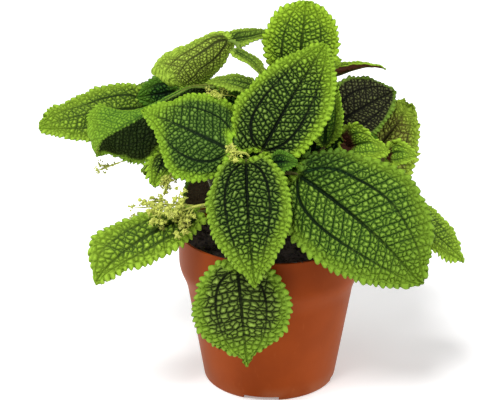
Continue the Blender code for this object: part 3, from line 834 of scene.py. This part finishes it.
def leaf_skin(name, top, rim, slope, groove, under, depth=1.0, painted_shade_side=0, fade=0.75, painted_shadow_side=0,
              hollow_tint=None, weave=PLAIN_WEAVE, soft=0.0, border=1.0, stalks=BROWN_STALK):
    """A blade's skin: its colour by how high it stands over the grooves, and how near to the edge.

    top is the colour of its domes, lightened at their tops as a painted highlight, rim that of its edge,
    slope that of their sides, groove that of the net between them, where the real dark veins are
    deepened by painted shade, and under that of its lower face.
    depth widens the dark grooves, fade clears them towards the tip, soft lightens their sides, and
    border is how wide the light edge is against that of a full-grown leaf.
    painted_shade_side is 1 or -1 where the right or left half is darkened as painted shade, and
    painted_shadow_side is the same for a painted shadow in the corner beside the stalk. hollow_tint
    colours the hollow at the foot of a curled blade.
    weave is that of its mesh, and stalks are the two colours of its stalk.
    """
    made, surface, wire = shader(name, Specular_IOR_Level=0.08)

    def attribute(key, output=1):
        return wire.node("ShaderNodeAttribute", {"attribute_name": key}, output=output)

    def toned(colour, by):
        return tuple(c * by for c in colour)

    side, rank = attribute("side", 2), attribute("rank", 2)
    q = quilting(attribute, rank, weave)
    patch, fleck = (attribute("sheet").clouds(scale, 3.0) for scale in (0.12, 1.4))
    # heart is 1 in the dark middle of the blade and 0 at its light edge.
    heart = (q["margin"] / (0.25 + rank.step(-0.1, 0.34) * 0.75)).step(2.0 * border, 13.0 * border)
    heart = heart * (1 - rank.step(0.3, 1.0) * fade)
    # swell climbs from a groove to the top of a dome. The colour darkens into the grooves, partly the
    # dark veins and partly painted shade, and lightens on the domes' tops into a painted highlight.
    swell = (q["net"] + soft).low(q["side"] * 0.8 + soft * 0.5).low(q["band"] * 1.6)
    swell = swell / (1.15 + (heart * 0.7 + patch * 0.3) * 0.45 * depth) * q["puff"]
    shift = (heart * 0.9 + (patch - 0.5) * 0.9).step(-0.05, 0.95)
    green = shift.blend(toned(rim, 0.76), toned(top, 0.80))
    green = (fleck.step(0.35, 0.75) * 0.35).blend(green, toned(top, 0.55))
    # The domes' tops are lightened and yellowed here as a painted highlight.
    painted_highlight = shift.blend(toned(rim, 0.88), toned(top, 1.25))
    deep = heart.step(0.0, 0.8).blend(toned(rim, 0.66), slope)
    hollow = heart.step(0.0, 0.6).blend(toned(rim, 0.50), groove)
    body = swell.step(0.0, 0.42).blend(hollow, deep)
    body = swell.step(0.22, 0.85).blend(body, green)
    body = swell.step(0.65, 1.15).blend(body, painted_highlight)
    # The midrib, the arched veins and the branch veins, fading out towards the edge and the tip.
    main = 1 - (q["lateral"] / (0.20 + q["thick"] * 1.45)).step(0.34, 1.30) * (
        q["aside"] / (0.20 + q["thick"] * 2.10)).step(0.36, 1.25)
    minor = (1 - q["side"].step(0.12, 0.60)) * (0.08 + heart * 0.42)
    main = main.high(minor) * q["margin"].step(0.6, 2.2)
    main = main * (0.15 + heart * 0.50 + q["thick"] * 0.5).low(1.0)
    body = (main * (1 - rank.step(0.80, 1.0) * 0.7)).blend(body, toned(groove, 0.45))
    ridge = swell * 2.2
    # One half of the blade is darkened here as painted shade, a little lighter on its domes.
    if painted_shade_side:
        dark = (q["x"] * painted_shade_side).step(1.2, 3.0) * q["margin"].step(1.5, 5.0) * 0.9
        painted_shade_colour = ridge.step(0.5, 2.5).blend((0.004, 0.006, 0.003), (0.011, 0.016, 0.006))
        body = dark.blend(body, painted_shade_colour)
    # A corner beside the stalk is darkened here as a painted shadow cast by the leaf above it.
    if painted_shadow_side:
        corner = (q["x"] * painted_shadow_side).step(-3.0, 7.0) * (1 - rank.step(0.06, 0.34)) * 0.6
        painted_shade_colour = ridge.step(0.4, 2.2).blend((0.003, 0.014, 0.004), (0.022, 0.085, 0.012))
        body = corner.blend(body, painted_shade_colour)
    if hollow_tint:
        body = ((1 - rank.step(0.10, 0.24)) * q["margin"].step(2.2, 4.0)).blend(body, hollow_tint)
    # The lower face has paler veins and a green edge, and the stalk has no pattern.
    flesh = (fleck * 0.6 + patch * 0.4).step(0.3, 0.7).blend(under, toned(under, 1.7))
    flesh = (1 - ridge.step(0.3, 1.2)).blend(flesh, toned(under, 1.9))
    flesh = (1 - q["margin"].step(0.8, 3.2)).blend(flesh, toned(rim, 0.75))
    body = side.step(0.3, 0.9).blend(body, flesh)
    stalk = patch.step(0.3, 0.7).blend(*stalks)
    body = side.step(1.4, 1.6).blend(body, stalk)
    rough = 0.46 + fleck * 0.18 + (1 - ridge.step(0.3, 1.5)) * 0.25
    feed(surface, Base_Color=body, Roughness=rough,
         Normal=(q["dome"] + q["puff"] * 0.6 + fleck * 0.12).bump(0.7, 0.0009))
    return made


# The colours of lower faces, and the skins of the leaves from the dark heart to the youngest. SHADY, and
# the deep skin below, are darkened as painted shade for the leaves inside and behind the plant.
RUSTY, DARK_RED = (0.075, 0.028, 0.012), (0.040, 0.016, 0.008)
GREENISH, SHADY = (0.070, 0.105, 0.020), (0.020, 0.016, 0.007)
FRESH = leaf_skin("leaf_fresh", (0.178, 0.277, 0.046), (0.290, 0.490, 0.028), (0.049, 0.101, 0.013),
                  (0.004, 0.011, 0.003), DARK_RED)
FRONT = leaf_skin("leaf_foremost", (0.170, 0.265, 0.046), (0.240, 0.408, 0.027), (0.047, 0.098, 0.012),
                  (0.004, 0.011, 0.003), DARK_RED, weave=FRONT_WEAVE)
CALM = leaf_skin("leaf_calm", (0.110, 0.198, 0.030), (0.280, 0.500, 0.026), (0.036, 0.085, 0.009),
                 (0.008, 0.026, 0.005), DARK_RED, soft=0.10)
# A painted shadow darkens its left corner beside the stalk.
BROAD = leaf_skin("leaf_broad", (0.176, 0.296, 0.035), (0.200, 0.350, 0.024), (0.066, 0.145, 0.013),
                  (0.008, 0.026, 0.005), DARK_RED, 0.0, painted_shadow_side=-1, weave=BROAD_WEAVE, soft=0.16)
POT_SKIN = leaf_skin("leaf_lowest", (0.205, 0.300, 0.052), (0.215, 0.372, 0.026), (0.070, 0.110, 0.015),
                     (0.010, 0.015, 0.004), DARK_RED, weave=CROSS_WEAVE, soft=0.08)
FAIR = leaf_skin("leaf_fair", (0.268, 0.427, 0.037), (0.330, 0.543, 0.028), (0.128, 0.238, 0.016),
                 (0.042, 0.088, 0.010), RUSTY, 0.75)
# A darker copy of the leaf skin, whose darkness is painted shade.
DEEP_SHADE = leaf_skin("leaf_deep_shade", (0.040, 0.120, 0.014), (0.100, 0.240, 0.018), (0.014, 0.055, 0.008),
                 (0.003, 0.014, 0.004), SHADY)
BACK = leaf_skin("leaf_back", (0.130, 0.210, 0.040), (0.240, 0.410, 0.022), (0.040, 0.090, 0.012),
                 (0.005, 0.016, 0.004), SHADY)
DUSK = leaf_skin("leaf_dusk", (0.104, 0.118, 0.037), (0.150, 0.270, 0.024), (0.030, 0.030, 0.014),
                 (0.008, 0.009, 0.005), DARK_RED, 1.0, fade=0.1, border=0.42)
BRONZE = leaf_skin("leaf_bronze", (0.259, 0.313, 0.048), (0.304, 0.452, 0.036), (0.160, 0.180, 0.024),
                   (0.075, 0.070, 0.015), (0.110, 0.125, 0.022), 0.7)
YOUNG = leaf_skin("leaf_young", (0.250, 0.450, 0.036), (0.320, 0.560, 0.036), (0.120, 0.280, 0.024),
                  (0.030, 0.100, 0.015), (0.13, 0.045, 0.020), 0.7)
CURLED = leaf_skin("leaf_curled", (0.300, 0.490, 0.038), (0.340, 0.550, 0.038), (0.200, 0.360, 0.026),
                   (0.085, 0.190, 0.018), (0.16, 0.050, 0.030), 0.7, hollow_tint=(0.055, 0.020, 0.010))
PALE = leaf_skin("leaf_pale", (0.259, 0.400, 0.039), (0.304, 0.493, 0.036), (0.140, 0.240, 0.020),
                 (0.045, 0.090, 0.014), GREENISH, 0.7)
MILD = leaf_skin("leaf_mild", (0.330, 0.460, 0.058), (0.350, 0.525, 0.050), (0.200, 0.268, 0.032),
                 (0.072, 0.095, 0.017), GREENISH, 0.8, fade=0.15, soft=0.12, stalks=GREEN_STALK)
TENDER = leaf_skin("leaf_tender", (0.200, 0.330, 0.034), (0.290, 0.450, 0.040), (0.140, 0.230, 0.022),
                   (0.060, 0.120, 0.016), (0.115, 0.170, 0.026), 0.6, stalks=GREEN_STALK)
# Its left half is darkened as painted shade.
ROOF = leaf_skin("leaf_roof_skin", (0.176, 0.352, 0.026), (0.259, 0.464, 0.030), (0.110, 0.240, 0.018),
                 (0.050, 0.140, 0.014), (0.100, 0.120, 0.020), 0.5, painted_shade_side=-1, stalks=GREEN_STALK)

# Where a blade bends or curls away from its plain solid. Each is a push in mm for a row of the
# blade, of its spine or of an edge. Rows count from the stalk at 0 to the tip at 11.
BENDS = {
    "leaf_front": {
        "spine": {9: (0, 0, 0), 11: (0, -0.5, -1.8)},
        "left": {3: (-1.3, 0, 0), 6: (-1.3, 0, 0), 9: (-1.6, 0, 0), 10: (-0.6, 0, 0)},
        "right": {3: (1.8, 0, 0), 6: (2, 0, 0), 9: (2.8, 0, 0), 10: (0.9, 0, 0)}},
    "leaf_centre": {
        "left": {1: (-4, -3, 0), 2: (-5, -4, 0), 4: (-5, -2, 0), 6: (0, 0, 0)}},
    "leaf_left": {
        "left": {5: (0, 0, 0), 7: (5, 0, 2), 8: (6, 0, 4), 9: (4, 0, 2.5)},
        "right": {0: (0, 4, -1), 1: (2, 11, -6), 2: (4, 14, -6), 4: (1, 9, -3), 6: (0, 0, 0),
                  8: (1, 0, -2)}},
    "leaf_right": {
        "spine": {9: (0, 0, 0), 11: (1.5, 0, 2.5)},
        "left": {4: (1, 0, 0), 5: (3, 0, 4), 6: (6, 0, 7), 8: (6.5, 0, 6.5), 10: (1, 0, 3)}},
    "leaf_pot": {
        "spine": {9: (0, 0, 0), 10: (0, 0, -1.5), 11: (0, -1, -4)},
        "left": {7: (0, 0, 0), 9: (-1.5, 0, 2), 10: (-3, 0, 3)},
        "right": {7: (0, 0, 0), 9: (1.5, 0, 2), 10: (3, 0, 3)}},
    "leaf_strip": {
        "spine": {0: (-7, 0, 4), 4: (-5, 0, 3), 8: (-2, 0, 4), 11: (1.5, 0, 4)},
        "left": {2: (1, 0, 2), 6: (1.5, 0, 2), 9: (1, 0, 1)},
        "right": {2: (-1.5, -2, -4), 6: (-2, -2, -5), 9: (-1, -1, -3)}},
    "leaf_upper_right": {
        "spine": {0: (-9, 0, -4), 2: (-6.3, 0, -1.3), 4: (-2.5, 0, -1.3), 6: (0, 0, 0)},
        "left": {1: (0, 0, 6), 2: (0.5, 0, 4), 4: (0.5, 0, 1.6), 6: (0, 0, 0)},
        "right": {1: (1.3, 0, -2), 2: (1.9, 0, -5), 4: (-0.5, 0, -5), 6: (-3, 0, -5), 8: (0, 0, -2)}},
    "leaf_roof": {
        "spine": {1: (2, 0, 3), 3: (0, 0, 4.5), 5: (0.5, 0, 0), 6: (0.5, 0, -3), 7: (1, 0, -2),
                  9: (1, 0, 3), 11: (4, 0, -1)},
        "left": {4: (0, 0, 0), 6: (0, 0, 4), 7: (-3, 0, -3), 8: (-5, 0, -2), 10: (-3, 0, 3)},
        "right": {2: (-9, 0, -6), 4: (-6, 0, -12), 5: (-4, 0, -11), 6: (-6, 0, -4), 7: (-10, 0, 6),
                  8: (-9, 0, 4), 10: (0, 0, 1)}},
    "leaf_far_left": {
        "left": {4: (0, 0, -1), 6: (0, 0, -3), 7: (0, 0, -3), 8: (0, 0, -2)},
        "right": {2: (0, 0, 3), 3: (0, 0, 4), 4: (0, 0, 2), 6: (0, 0, -3), 7: (0, 0, -1.5),
                  8: (0, 0, 2), 9: (0, 0, 3.5), 10: (0, 0, 2.5)}},
    "leaf_far_right": {
        "left": {3: (0, 0, -1), 5: (-1, 0, -3), 6: (-1.5, 0, -3), 7: (-1, 0, -1.5)},
        "right": {4: (0, 0, 0), 6: (2, 0, 6), 7: (2.5, 0, 7), 8: (0, 0, 4), 9: (0, 0, 1.5)}},
    "leaf_upper_left": {
        "spine": {0: (1, 0, 0), 3: (0, 0, 3.5), 6: (0, 0, 1.5), 8: (5, 0, -1.5), 11: (14, 0, -6)},
        "left": {2: (3.5, 0, -2.5), 4: (7, 0, 1), 7: (7, 0, 3), 9: (4, 0, 2.5)},
        "right": {2: (2, 0, 1), 4: (1.5, 3, -5.5), 5: (0, 3.5, -9.5), 6: (-1.5, 4, -12),
                  7: (-4.5, 3, -10.5), 8: (-10.5, 2, -15), 9: (-7, 0, -12), 10: (-4, 0, -7)}},
    "leaf_sliver": {
        "left": {2: (-2, -3, -5), 4: (-1, -5, -8), 6: (1, -5, -7), 9: (2, -2, -2)},
        "right": {2: (-1, 0, 4), 4: (0, 0, 2), 6: (1, 0, 0)}},
    "leaf_low_left": {
        "spine": {9: (0, 0, 0), 11: (-0.5, 0, -3)},
        "left": {6: (1, 0, 2), 7: (1, 0, 3), 8: (1, 0, 5.5), 9: (2, 0, 5), 10: (1, 0, 4)},
        "right": {4: (0, 0, -2), 6: (-4, 0, 3), 8: (-8, 0, 6.5), 10: (-2, 0, 2)}},
    "leaf_right_back": {
        "right": {3: (4, 0, -10), 4: (2, 0, -8.5), 6: (0, 0, -3), 8: (0, 0, 0)}},
    "leaf_dark": {
        "right": {3: (-1, 0, 0), 5: (-4.5, 0, 1.5), 7: (-3, 0, 4), 8: (-1.5, 0, 5)}},
    "leaf_edge_right": {
        "spine": {2: (0, 0, -4), 4: (0, 0, -3.5), 7: (0, 0, 0)},
        "left": {5: (0, 0, -1.5), 7: (0, 0, -3)},
        "right": {5: (0, 0, -1.5), 7: (0, 0, -2)}},
    "leaf_young_a": {
        "spine": {0: (4, 5, -2), 3: (4.5, 5, -2), 6: (4, 1, 0), 11: (4.5, 0, -3)},
        "left": {0: (-5, -4, 6), 2: (-5.5, -5, 6.5), 4: (-2.5, -3.5, 3), 7: (-3, 0, -5.5)},
        "right": {0: (-5, -5, 6), 1: (-5, -5, 8), 3: (-1.5, -5, 0.5), 5: (0.5, -2, -4),
                  7: (1.5, 0, -5)}},
    "leaf_young_b": {
        "spine": {0: (5.5, 4, 1.5), 4: (4.5, 3, 2.5), 6: (3, 0, 2.5), 11: (1.5, 0, -1)},
        "left": {0: (-2, -4, 2.5), 2: (-1, -4, 1.5), 4: (1.5, -3, 0), 6: (2.5, 0, -3.5),
                 8: (1.5, 0, -2.5)},
        "right": {0: (-1.5, -4, 3), 2: (0, -4, 0), 4: (3, -3, -3.5), 6: (4, 0, -4), 8: (2, 0, -1.5)}},
}

# node: (skin, spacing, tooth pitch, tooth depth, cell size, relief, wave)
LEAVES = {
    "leaf_centre": (FRESH, 0.45, 4.0, 1.2, 0.90, 1.35, 1.4),
    "leaf_front": (FRONT, 0.45, 4.1, 1.4, 0.88, 1.30, 1.4),
    "leaf_left": (CALM, 0.47, 4.2, 1.4, 0.82, 1.20, 1.4),
    "leaf_right": (BROAD, 0.50, 5.8, 2.1, 1.02, 1.45, 1.8),
    "leaf_pot": (POT_SKIN, 0.46, 4.8, 1.8, 0.98, 1.40, 1.4),
    "leaf_front_bud": (DEEP_SHADE, 0.45, 2.5, 0.9, 0.55, 0.45, 0.5),
    "leaf_top": (FAIR, 0.48, 5.0, 1.8, 0.85, 1.10, 1.4),
    "leaf_edge_right": (FAIR, 0.50, 3.6, 1.0, 0.70, 0.60, 0.8),
    "leaf_upper_left": (MILD, 0.48, 4.0, 0.8, 0.72, 0.70, 1.0),
    "leaf_upper_right": (TENDER, 0.50, 2.9, 1.0, 0.60, 0.52, 0.6),
    "leaf_strip": (TENDER, 0.50, 2.9, 0.8, 0.60, 0.52, 0.6),
    "leaf_sliver": (TENDER, 0.50, 3.1, 1.2, 0.65, 0.59, 0.8),
    "leaf_roof": (ROOF, 0.62, 3.0, 2.4, 0.80, 0.75, 1.2),
    "leaf_inner": (DEEP_SHADE, 0.75, 4.0, 1.4, 0.85, 0.78, 1.4),
    "leaf_inner_right": (DEEP_SHADE, 0.75, 4.0, 1.4, 0.85, 0.78, 1.4),
    "leaf_far_left": (PALE, 0.54, 4.6, 1.5, 0.90, 1.25, 2.0),
    "leaf_left_dark": (DEEP_SHADE, 0.60, 3.8, 1.4, 0.75, 0.72, 1.0),
    "leaf_ragged": (FRESH, 0.50, 5.4, 4.0, 0.70, 0.65, 1.2),
    "leaf_low_left": (PALE, 0.48, 5.4, 2.1, 1.10, 1.70, 1.8),
    "leaf_dark": (DUSK, 0.50, 3.6, 1.3, 0.72, 0.85, 1.2),
    "leaf_right_back": (BRONZE, 0.52, 4.8, 2.8, 0.88, 1.00, 1.3),
    "leaf_young_a": (CURLED, 0.50, 3.8, 1.8, 0.65, 0.65, 1.2),
    "leaf_young_b": (CURLED, 0.50, 3.4, 1.6, 0.60, 0.59, 1.0),
    "leaf_far_right": (PALE, 0.50, 5.2, 2.2, 0.80, 1.20, 1.5),
    "leaf_back_crown": (BACK, 0.74, 4.3, 1.7, 0.95, 0.91, 1.5),
    "leaf_back_left_high": (BACK, 0.74, 4.4, 1.7, 0.95, 0.98, 1.6),
    "leaf_back_high": (BACK, 0.74, 4.5, 1.8, 1.00, 0.98, 1.6),
    "leaf_back_left_low": (BACK, 0.74, 4.7, 2.0, 1.00, 0.98, 1.6),
    "leaf_back_hang": (DEEP_SHADE, 0.74, 4.7, 1.8, 1.00, 0.98, 1.5),
    "leaf_back_right_high": (BACK, 0.74, 4.5, 1.8, 0.98, 0.98, 1.6),
    "leaf_back_middle": (BACK, 0.74, 4.5, 1.8, 1.00, 0.98, 1.6),
    "leaf_back_right_low": (BACK, 0.74, 4.7, 2.0, 1.00, 0.98, 1.6),
    "leaf_back_right_hang": (DEEP_SHADE, 0.74, 4.4, 1.7, 0.95, 0.91, 1.5),
    "leaf_back_upright": (DEEP_SHADE, 0.78, 4.3, 1.6, 0.95, 0.91, 1.5),
    "leaf_back_inner": (DEEP_SHADE, 0.78, 4.3, 1.6, 0.95, 0.91, 1.5),
    "leaf_back_sprig": (BRONZE, 0.74, 4.0, 1.6, 0.85, 0.85, 1.4),
}
# The young leaves at the heart of the plant, which have no solids of their own.
# name: (foot of the stalk, foot of the blade, tip, width, skin), in mm
CROWN = {
    "crown_leaf_back": ((-14, -22, 138), (-10, -22, 147), (-4, -13, 172), 24, DEEP_SHADE),
    "crown_leaf_left": ((-16, -24, 138), (-17, -26, 150), (-30, -16, 170), 17, DEEP_SHADE),
    "crown_leaf_right": ((-12, -24, 138), (4, -24, 150), (24, -20, 166), 22, DEEP_SHADE),
    "crown_leaf_low": ((-13, -26, 136), (3, -30, 148), (15, -34, 153), 14, DEEP_SHADE),
    "crown_leaf_side": ((27, 22, 141), (34, 3, 158), (37, -5, 211), 21, YOUNG),
    "crown_leaf_shade": ((27, 22, 141), (36, 14, 150), (68, 6, 164), 20, DEEP_SHADE),
}
# Their spacing, teeth, cells, relief and wave, which way their upper faces look, and how far a blade
# is arched along and cupped across, against its width.
CROWN_SIZES, CROWN_FACES = (0.6, 3.4, 1.2, 0.75, 0.7, 1.0), (0, -0.6, 0.8)
CROWN_ARCH, CROWN_CUP = 0.12, 0.3


def plain_leaf(foot, start, tip, width):
    """The stalk centres and blade rows of a simple oval leaf."""
    foot, start, tip = (Vector(point) * MM for point in (foot, start, tip))
    ahead = (tip - start).normalized()
    across = ahead.cross(Vector(CROWN_FACES)).normalized()
    up = across.cross(ahead)
    rows = []
    for k in range(BLADE_ROWS + 1):
        t = (1 - cos(pi * k / BLADE_ROWS)) / 2
        half = width / 2 * MM * sin(pi * t ** 0.85) ** 0.75 if 0 < k < BLADE_ROWS else 0.0
        centre = start.lerp(tip, t) + up * sin(pi * t) * width * CROWN_ARCH * MM
        rows.append([centre + across * half * s + up * abs(s) * half * CROWN_CUP
                     for s in (-1, -0.5, 0, 0.5, 1)])
    stalk = [foot.lerp(start, k / 4) - up * sin(pi * k / 4) * MM for k in range(5)]
    return stalk, rows


for number, (leaf, (skin, *sizes)) in enumerate(LEAVES.items()):
    net = bent(*blade_net(leaf), **BENDS.get(leaf, {}))
    piece("visible_" + leaf, make_leaf(leaf, *net, *sizes, seed=number * 13 + 5), skin, "leaf", leaf)
for number, (leaf, (*ends, width, skin)) in enumerate(CROWN.items()):
    bm = make_leaf(leaf, *plain_leaf(*ends, width), *CROWN_SIZES, seed=number * 7 + 900)
    piece("visible_" + leaf, bm, skin, "leaf")

# ---------------------------------------------------------------------------------------------
# The flower sprays: thread-thin forked stalks from the leaf joints, each fork ending in a tuft of
# tiny pale four-pointed flowers and round buds, some of them gone brown.

SPRAYS = {
    # node: (forks, tufts on each, flowers in a tuft, spread against the solid, flower size in mm,
    #        how far the head leans and the stalk bows away from the plain solid in mm)
    "flowers_left": (11, 3, 4, 1.75, 3.1, (4, 0, -2), (0, 0, 0)),
    "flowers_left_low": (13, 3, 5, 1.7, 1.8, (-5, 0, -9), (0, 0, 0)),
    "flowers_left_loop": (10, 3, 5, 1.4, 1.30, (3, 0, -12), (0, 0, 0)),
    "flowers_far_left": (5, 2, 5, 1.0, 1.30, (-8, 20, -4), (0, 8, -2)),
    "flowers_centre": (3, 2, 4, 0.55, 2.60, (2.5, -3, 1), (0, 0, 0)),
    "flowers_upper": (10, 3, 6, 1.3, 1.40, (0, 0, 5), (0, 0, 0)),
}
# How often a flower is still a bud, and how steeply the petals of an open one spread.
BUD_CHANCE, PETALS, PETAL_SPREAD = 0.3, 4, radians(68)
# Where the stalk ends and where its forks leave it, counted in the plain solid's rings, and how
# stout forks and the threads of tufts are.
STALK_END, STALK_STEPS, FORKS_FROM, FORKS_OVER, FORK_STEPS = 9.0, 20, 4.6, 4.2, 6
FORK_RADIUS, FORK_THINS, THREAD_RADIUS = 0.60, 0.06, 0.22


def add_flower(bm, at, way, size, draw):
    """A round bud. An open one has four petals round it."""
    turn = way.to_track_quat("Z", "Y").to_matrix().to_4x4()
    place = Matrix.Translation(at) @ (turn @ Matrix.Rotation(draw.uniform(0, pi), 4, "Z"))
    bmesh.ops.create_icosphere(bm, subdivisions=1, radius=size * 0.42, matrix=place)
    if draw.random() < BUD_CHANCE:
        return
    for k in range(PETALS):
        petal = (place @ Matrix.Rotation(k * 2 * pi / PETALS, 4, "Z")
                 @ Matrix.Translation((size * 0.5, 0, size * 0.16))
                 @ Matrix.Rotation(PETAL_SPREAD, 4, "Y") @ Matrix.Diagonal((0.45, 1, 1, 1)))
        bmesh.ops.create_cone(bm, cap_ends=True, segments=4, radius1=size * 0.30,
                              radius2=size * 0.05, depth=size * 0.8, matrix=petal)


def scattered(pick, *limits):
    """A vector of three draws."""
    return Vector([pick(*limits) for _ in range(3)])


def make_spray(node, forks, tufts, flowers, spread, size, lean, bow, draw):
    """A spray over its plain solid: a stalk, forks that leave its upper half, and tufts on each."""
    rings = rings_of(node)
    if (rings[3][0] - rings[3][4]).length > (rings[-4][0] - rings[-4][4]).length:
        rings.reverse()
    centres = []
    for i, ring in enumerate(rings):
        f = i / (len(rings) - 1)
        centres.append(middle(ring) + (Vector(lean) * f ** 1.5 + Vector(bow) * sin(pi * f)) * MM)
    head = middle(centres[6:11])
    bulk = (rings[8][0] - rings[8][4]).length / 2 * spread
    tip = centres[-1] - centres[5]
    bm = bmesh.new()
    path = [along(centres, STALK_END * k / STALK_STEPS) for k in range(STALK_STEPS + 1)]
    radii = [size * (0.36 - 0.15 * k / STALK_STEPS) * MM for k in range(1, STALK_STEPS)]
    add_tube(bm, path, [0.0, *radii, 0.0], 6)
    for fork in range(forks):
        start = along(centres, FORKS_FROM + FORKS_OVER * fork / forks)
        aim = scattered(draw.gauss, 0, 1).normalized() * bulk * draw.uniform(0.55, 1.0)
        end = head + aim + tip * draw.uniform(-0.42, 0.42)
        bend = (start + end) / 2 + scattered(draw.uniform, -1, 1) * MM + tip * 0.06
        curve = swept(start, bend, end, FORK_STEPS)
        radii = [(FORK_RADIUS - FORK_THINS * k) * MM for k in range(FORK_STEPS - 1)]
        add_tube(bm, curve, [0.0, *radii, 0.0], 5)
        for tuft in range(tufts):
            root = curve[FORK_STEPS - 2 * tuft]
            out = (aim.normalized() + scattered(draw.gauss, 0, 0.7)).normalized()
            heart = root + out * draw.uniform(0.6, 1.6) * MM * (1.6 if tuft else 1)
            add_tube(bm, [root, (root + heart) / 2, heart], [0.0, THREAD_RADIUS * MM, 0.0], 4)
            for _ in range(flowers):
                way = (out + scattered(draw.gauss, 0, 0.8)).normalized()
                at = heart + way * draw.uniform(0.5, 1.6) * size * MM
                add_flower(bm, at, way, draw.uniform(0.75, 1.15) * size * MM, draw)
    return bm


def flower_skin():
    """Pale yellow-green, with patches that have gone brown, and greener threads."""
    made, surface, wire = shader("flower_skin")
    age = wire.place().clouds(170.0, 2.0)
    fleck = wire.place().clouds(1500.0, 3.0)
    body = fleck.step(0.3, 0.7).blend((0.36, 0.41, 0.045), (0.60, 0.64, 0.12))
    body = (age.step(0.58, 0.72) * 0.6).blend(body, (0.14, 0.13, 0.040))
    feed(surface, Base_Color=body, Roughness=0.55 + fleck * 0.25, Normal=fleck.bump(0.4, 0.0001))
    return made


FLOWER_SKIN = flower_skin()
for number, (spray, sizes) in enumerate(SPRAYS.items()):
    bm = make_spray(spray, *sizes, Random(40 + number))
    piece("visible_" + spray, bm, FLOWER_SKIN, "flower", spray)

# ---------------------------------------------------------------------------------------------
# The stage: a plain white floor that runs off behind, soft and even light from three sides, and a
# camera about a metre away that looks a little down on the pot.

CAMERA_AT = (0.0, -0.970, 0.508)
CAMERA_DOWN, CAMERA_TURN, CAMERA_ROLL = 0.378, 0.0137, 0.0025
LENS, LENS_SENSOR = 116.2, 36.0
FLOOR_REACH = 6


def make_floor():
    """A wide white floor, a little lit of itself, so that it runs into the backdrop without an edge."""
    bm = bmesh.new()
    bmesh.ops.create_grid(bm, x_segments=1, y_segments=1, size=FLOOR_REACH)
    floor = placed("floor", bm)
    white, *_ = shader("floor_white", Base_Color=(0.92, 0.92, 0.92, 1), Roughness=0.8,
                       Emission_Color=(1, 1, 1, 1), Emission_Strength=0.28)
    floor.data.materials.append(white)


def add_light(name, at, spread, power):
    """A broad, even light from one direction. spread is how wide it is, in degrees."""
    lamp = bpy.data.lights.new(name, "SUN")
    lamp.angle, lamp.energy = radians(spread), power
    light = linked(name, lamp)
    light.location = at
    light.rotation_euler = Vector(at).to_track_quat("Z", "Y").to_euler()


make_floor()
add_light("key_light", (-0.28, -0.45, 0.95), 26, 2.90)
add_light("side_light", (0.95, -0.30, 0.5), 40, 1.35)
add_light("left_light", (-0.95, -0.15, 0.4), 40, 0.60)
world = bpy.data.worlds.new("studio")
world.use_nodes = True
# The backdrop looks whiter than the light it gives, so that shadows keep their depth.
sky = Wire(world.node_tree)
seen = sky.node("ShaderNodeLightPath", output=0)
backdrop = world.node_tree.nodes["Background"]
backdrop.inputs["Color"].default_value = (1, 1, 1, 1)
sky.tree.links.new((seen * 0.7 + 0.36).socket, backdrop.inputs["Strength"])
bpy.context.scene.world = world
bpy.context.scene.view_settings.view_transform = "Standard"

lens = bpy.data.cameras.new("camera")
lens.lens, lens.sensor_width = LENS, LENS_SENSOR
camera = linked("camera", lens)
camera.location = CAMERA_AT
camera.rotation_euler = (
    Matrix.Rotation(CAMERA_TURN, 3, "Z") @ Matrix.Rotation(pi / 2 - CAMERA_DOWN, 3, "X")
    @ Matrix.Rotation(CAMERA_ROLL, 3, "Z")).to_euler()
bpy.context.scene.camera = camera
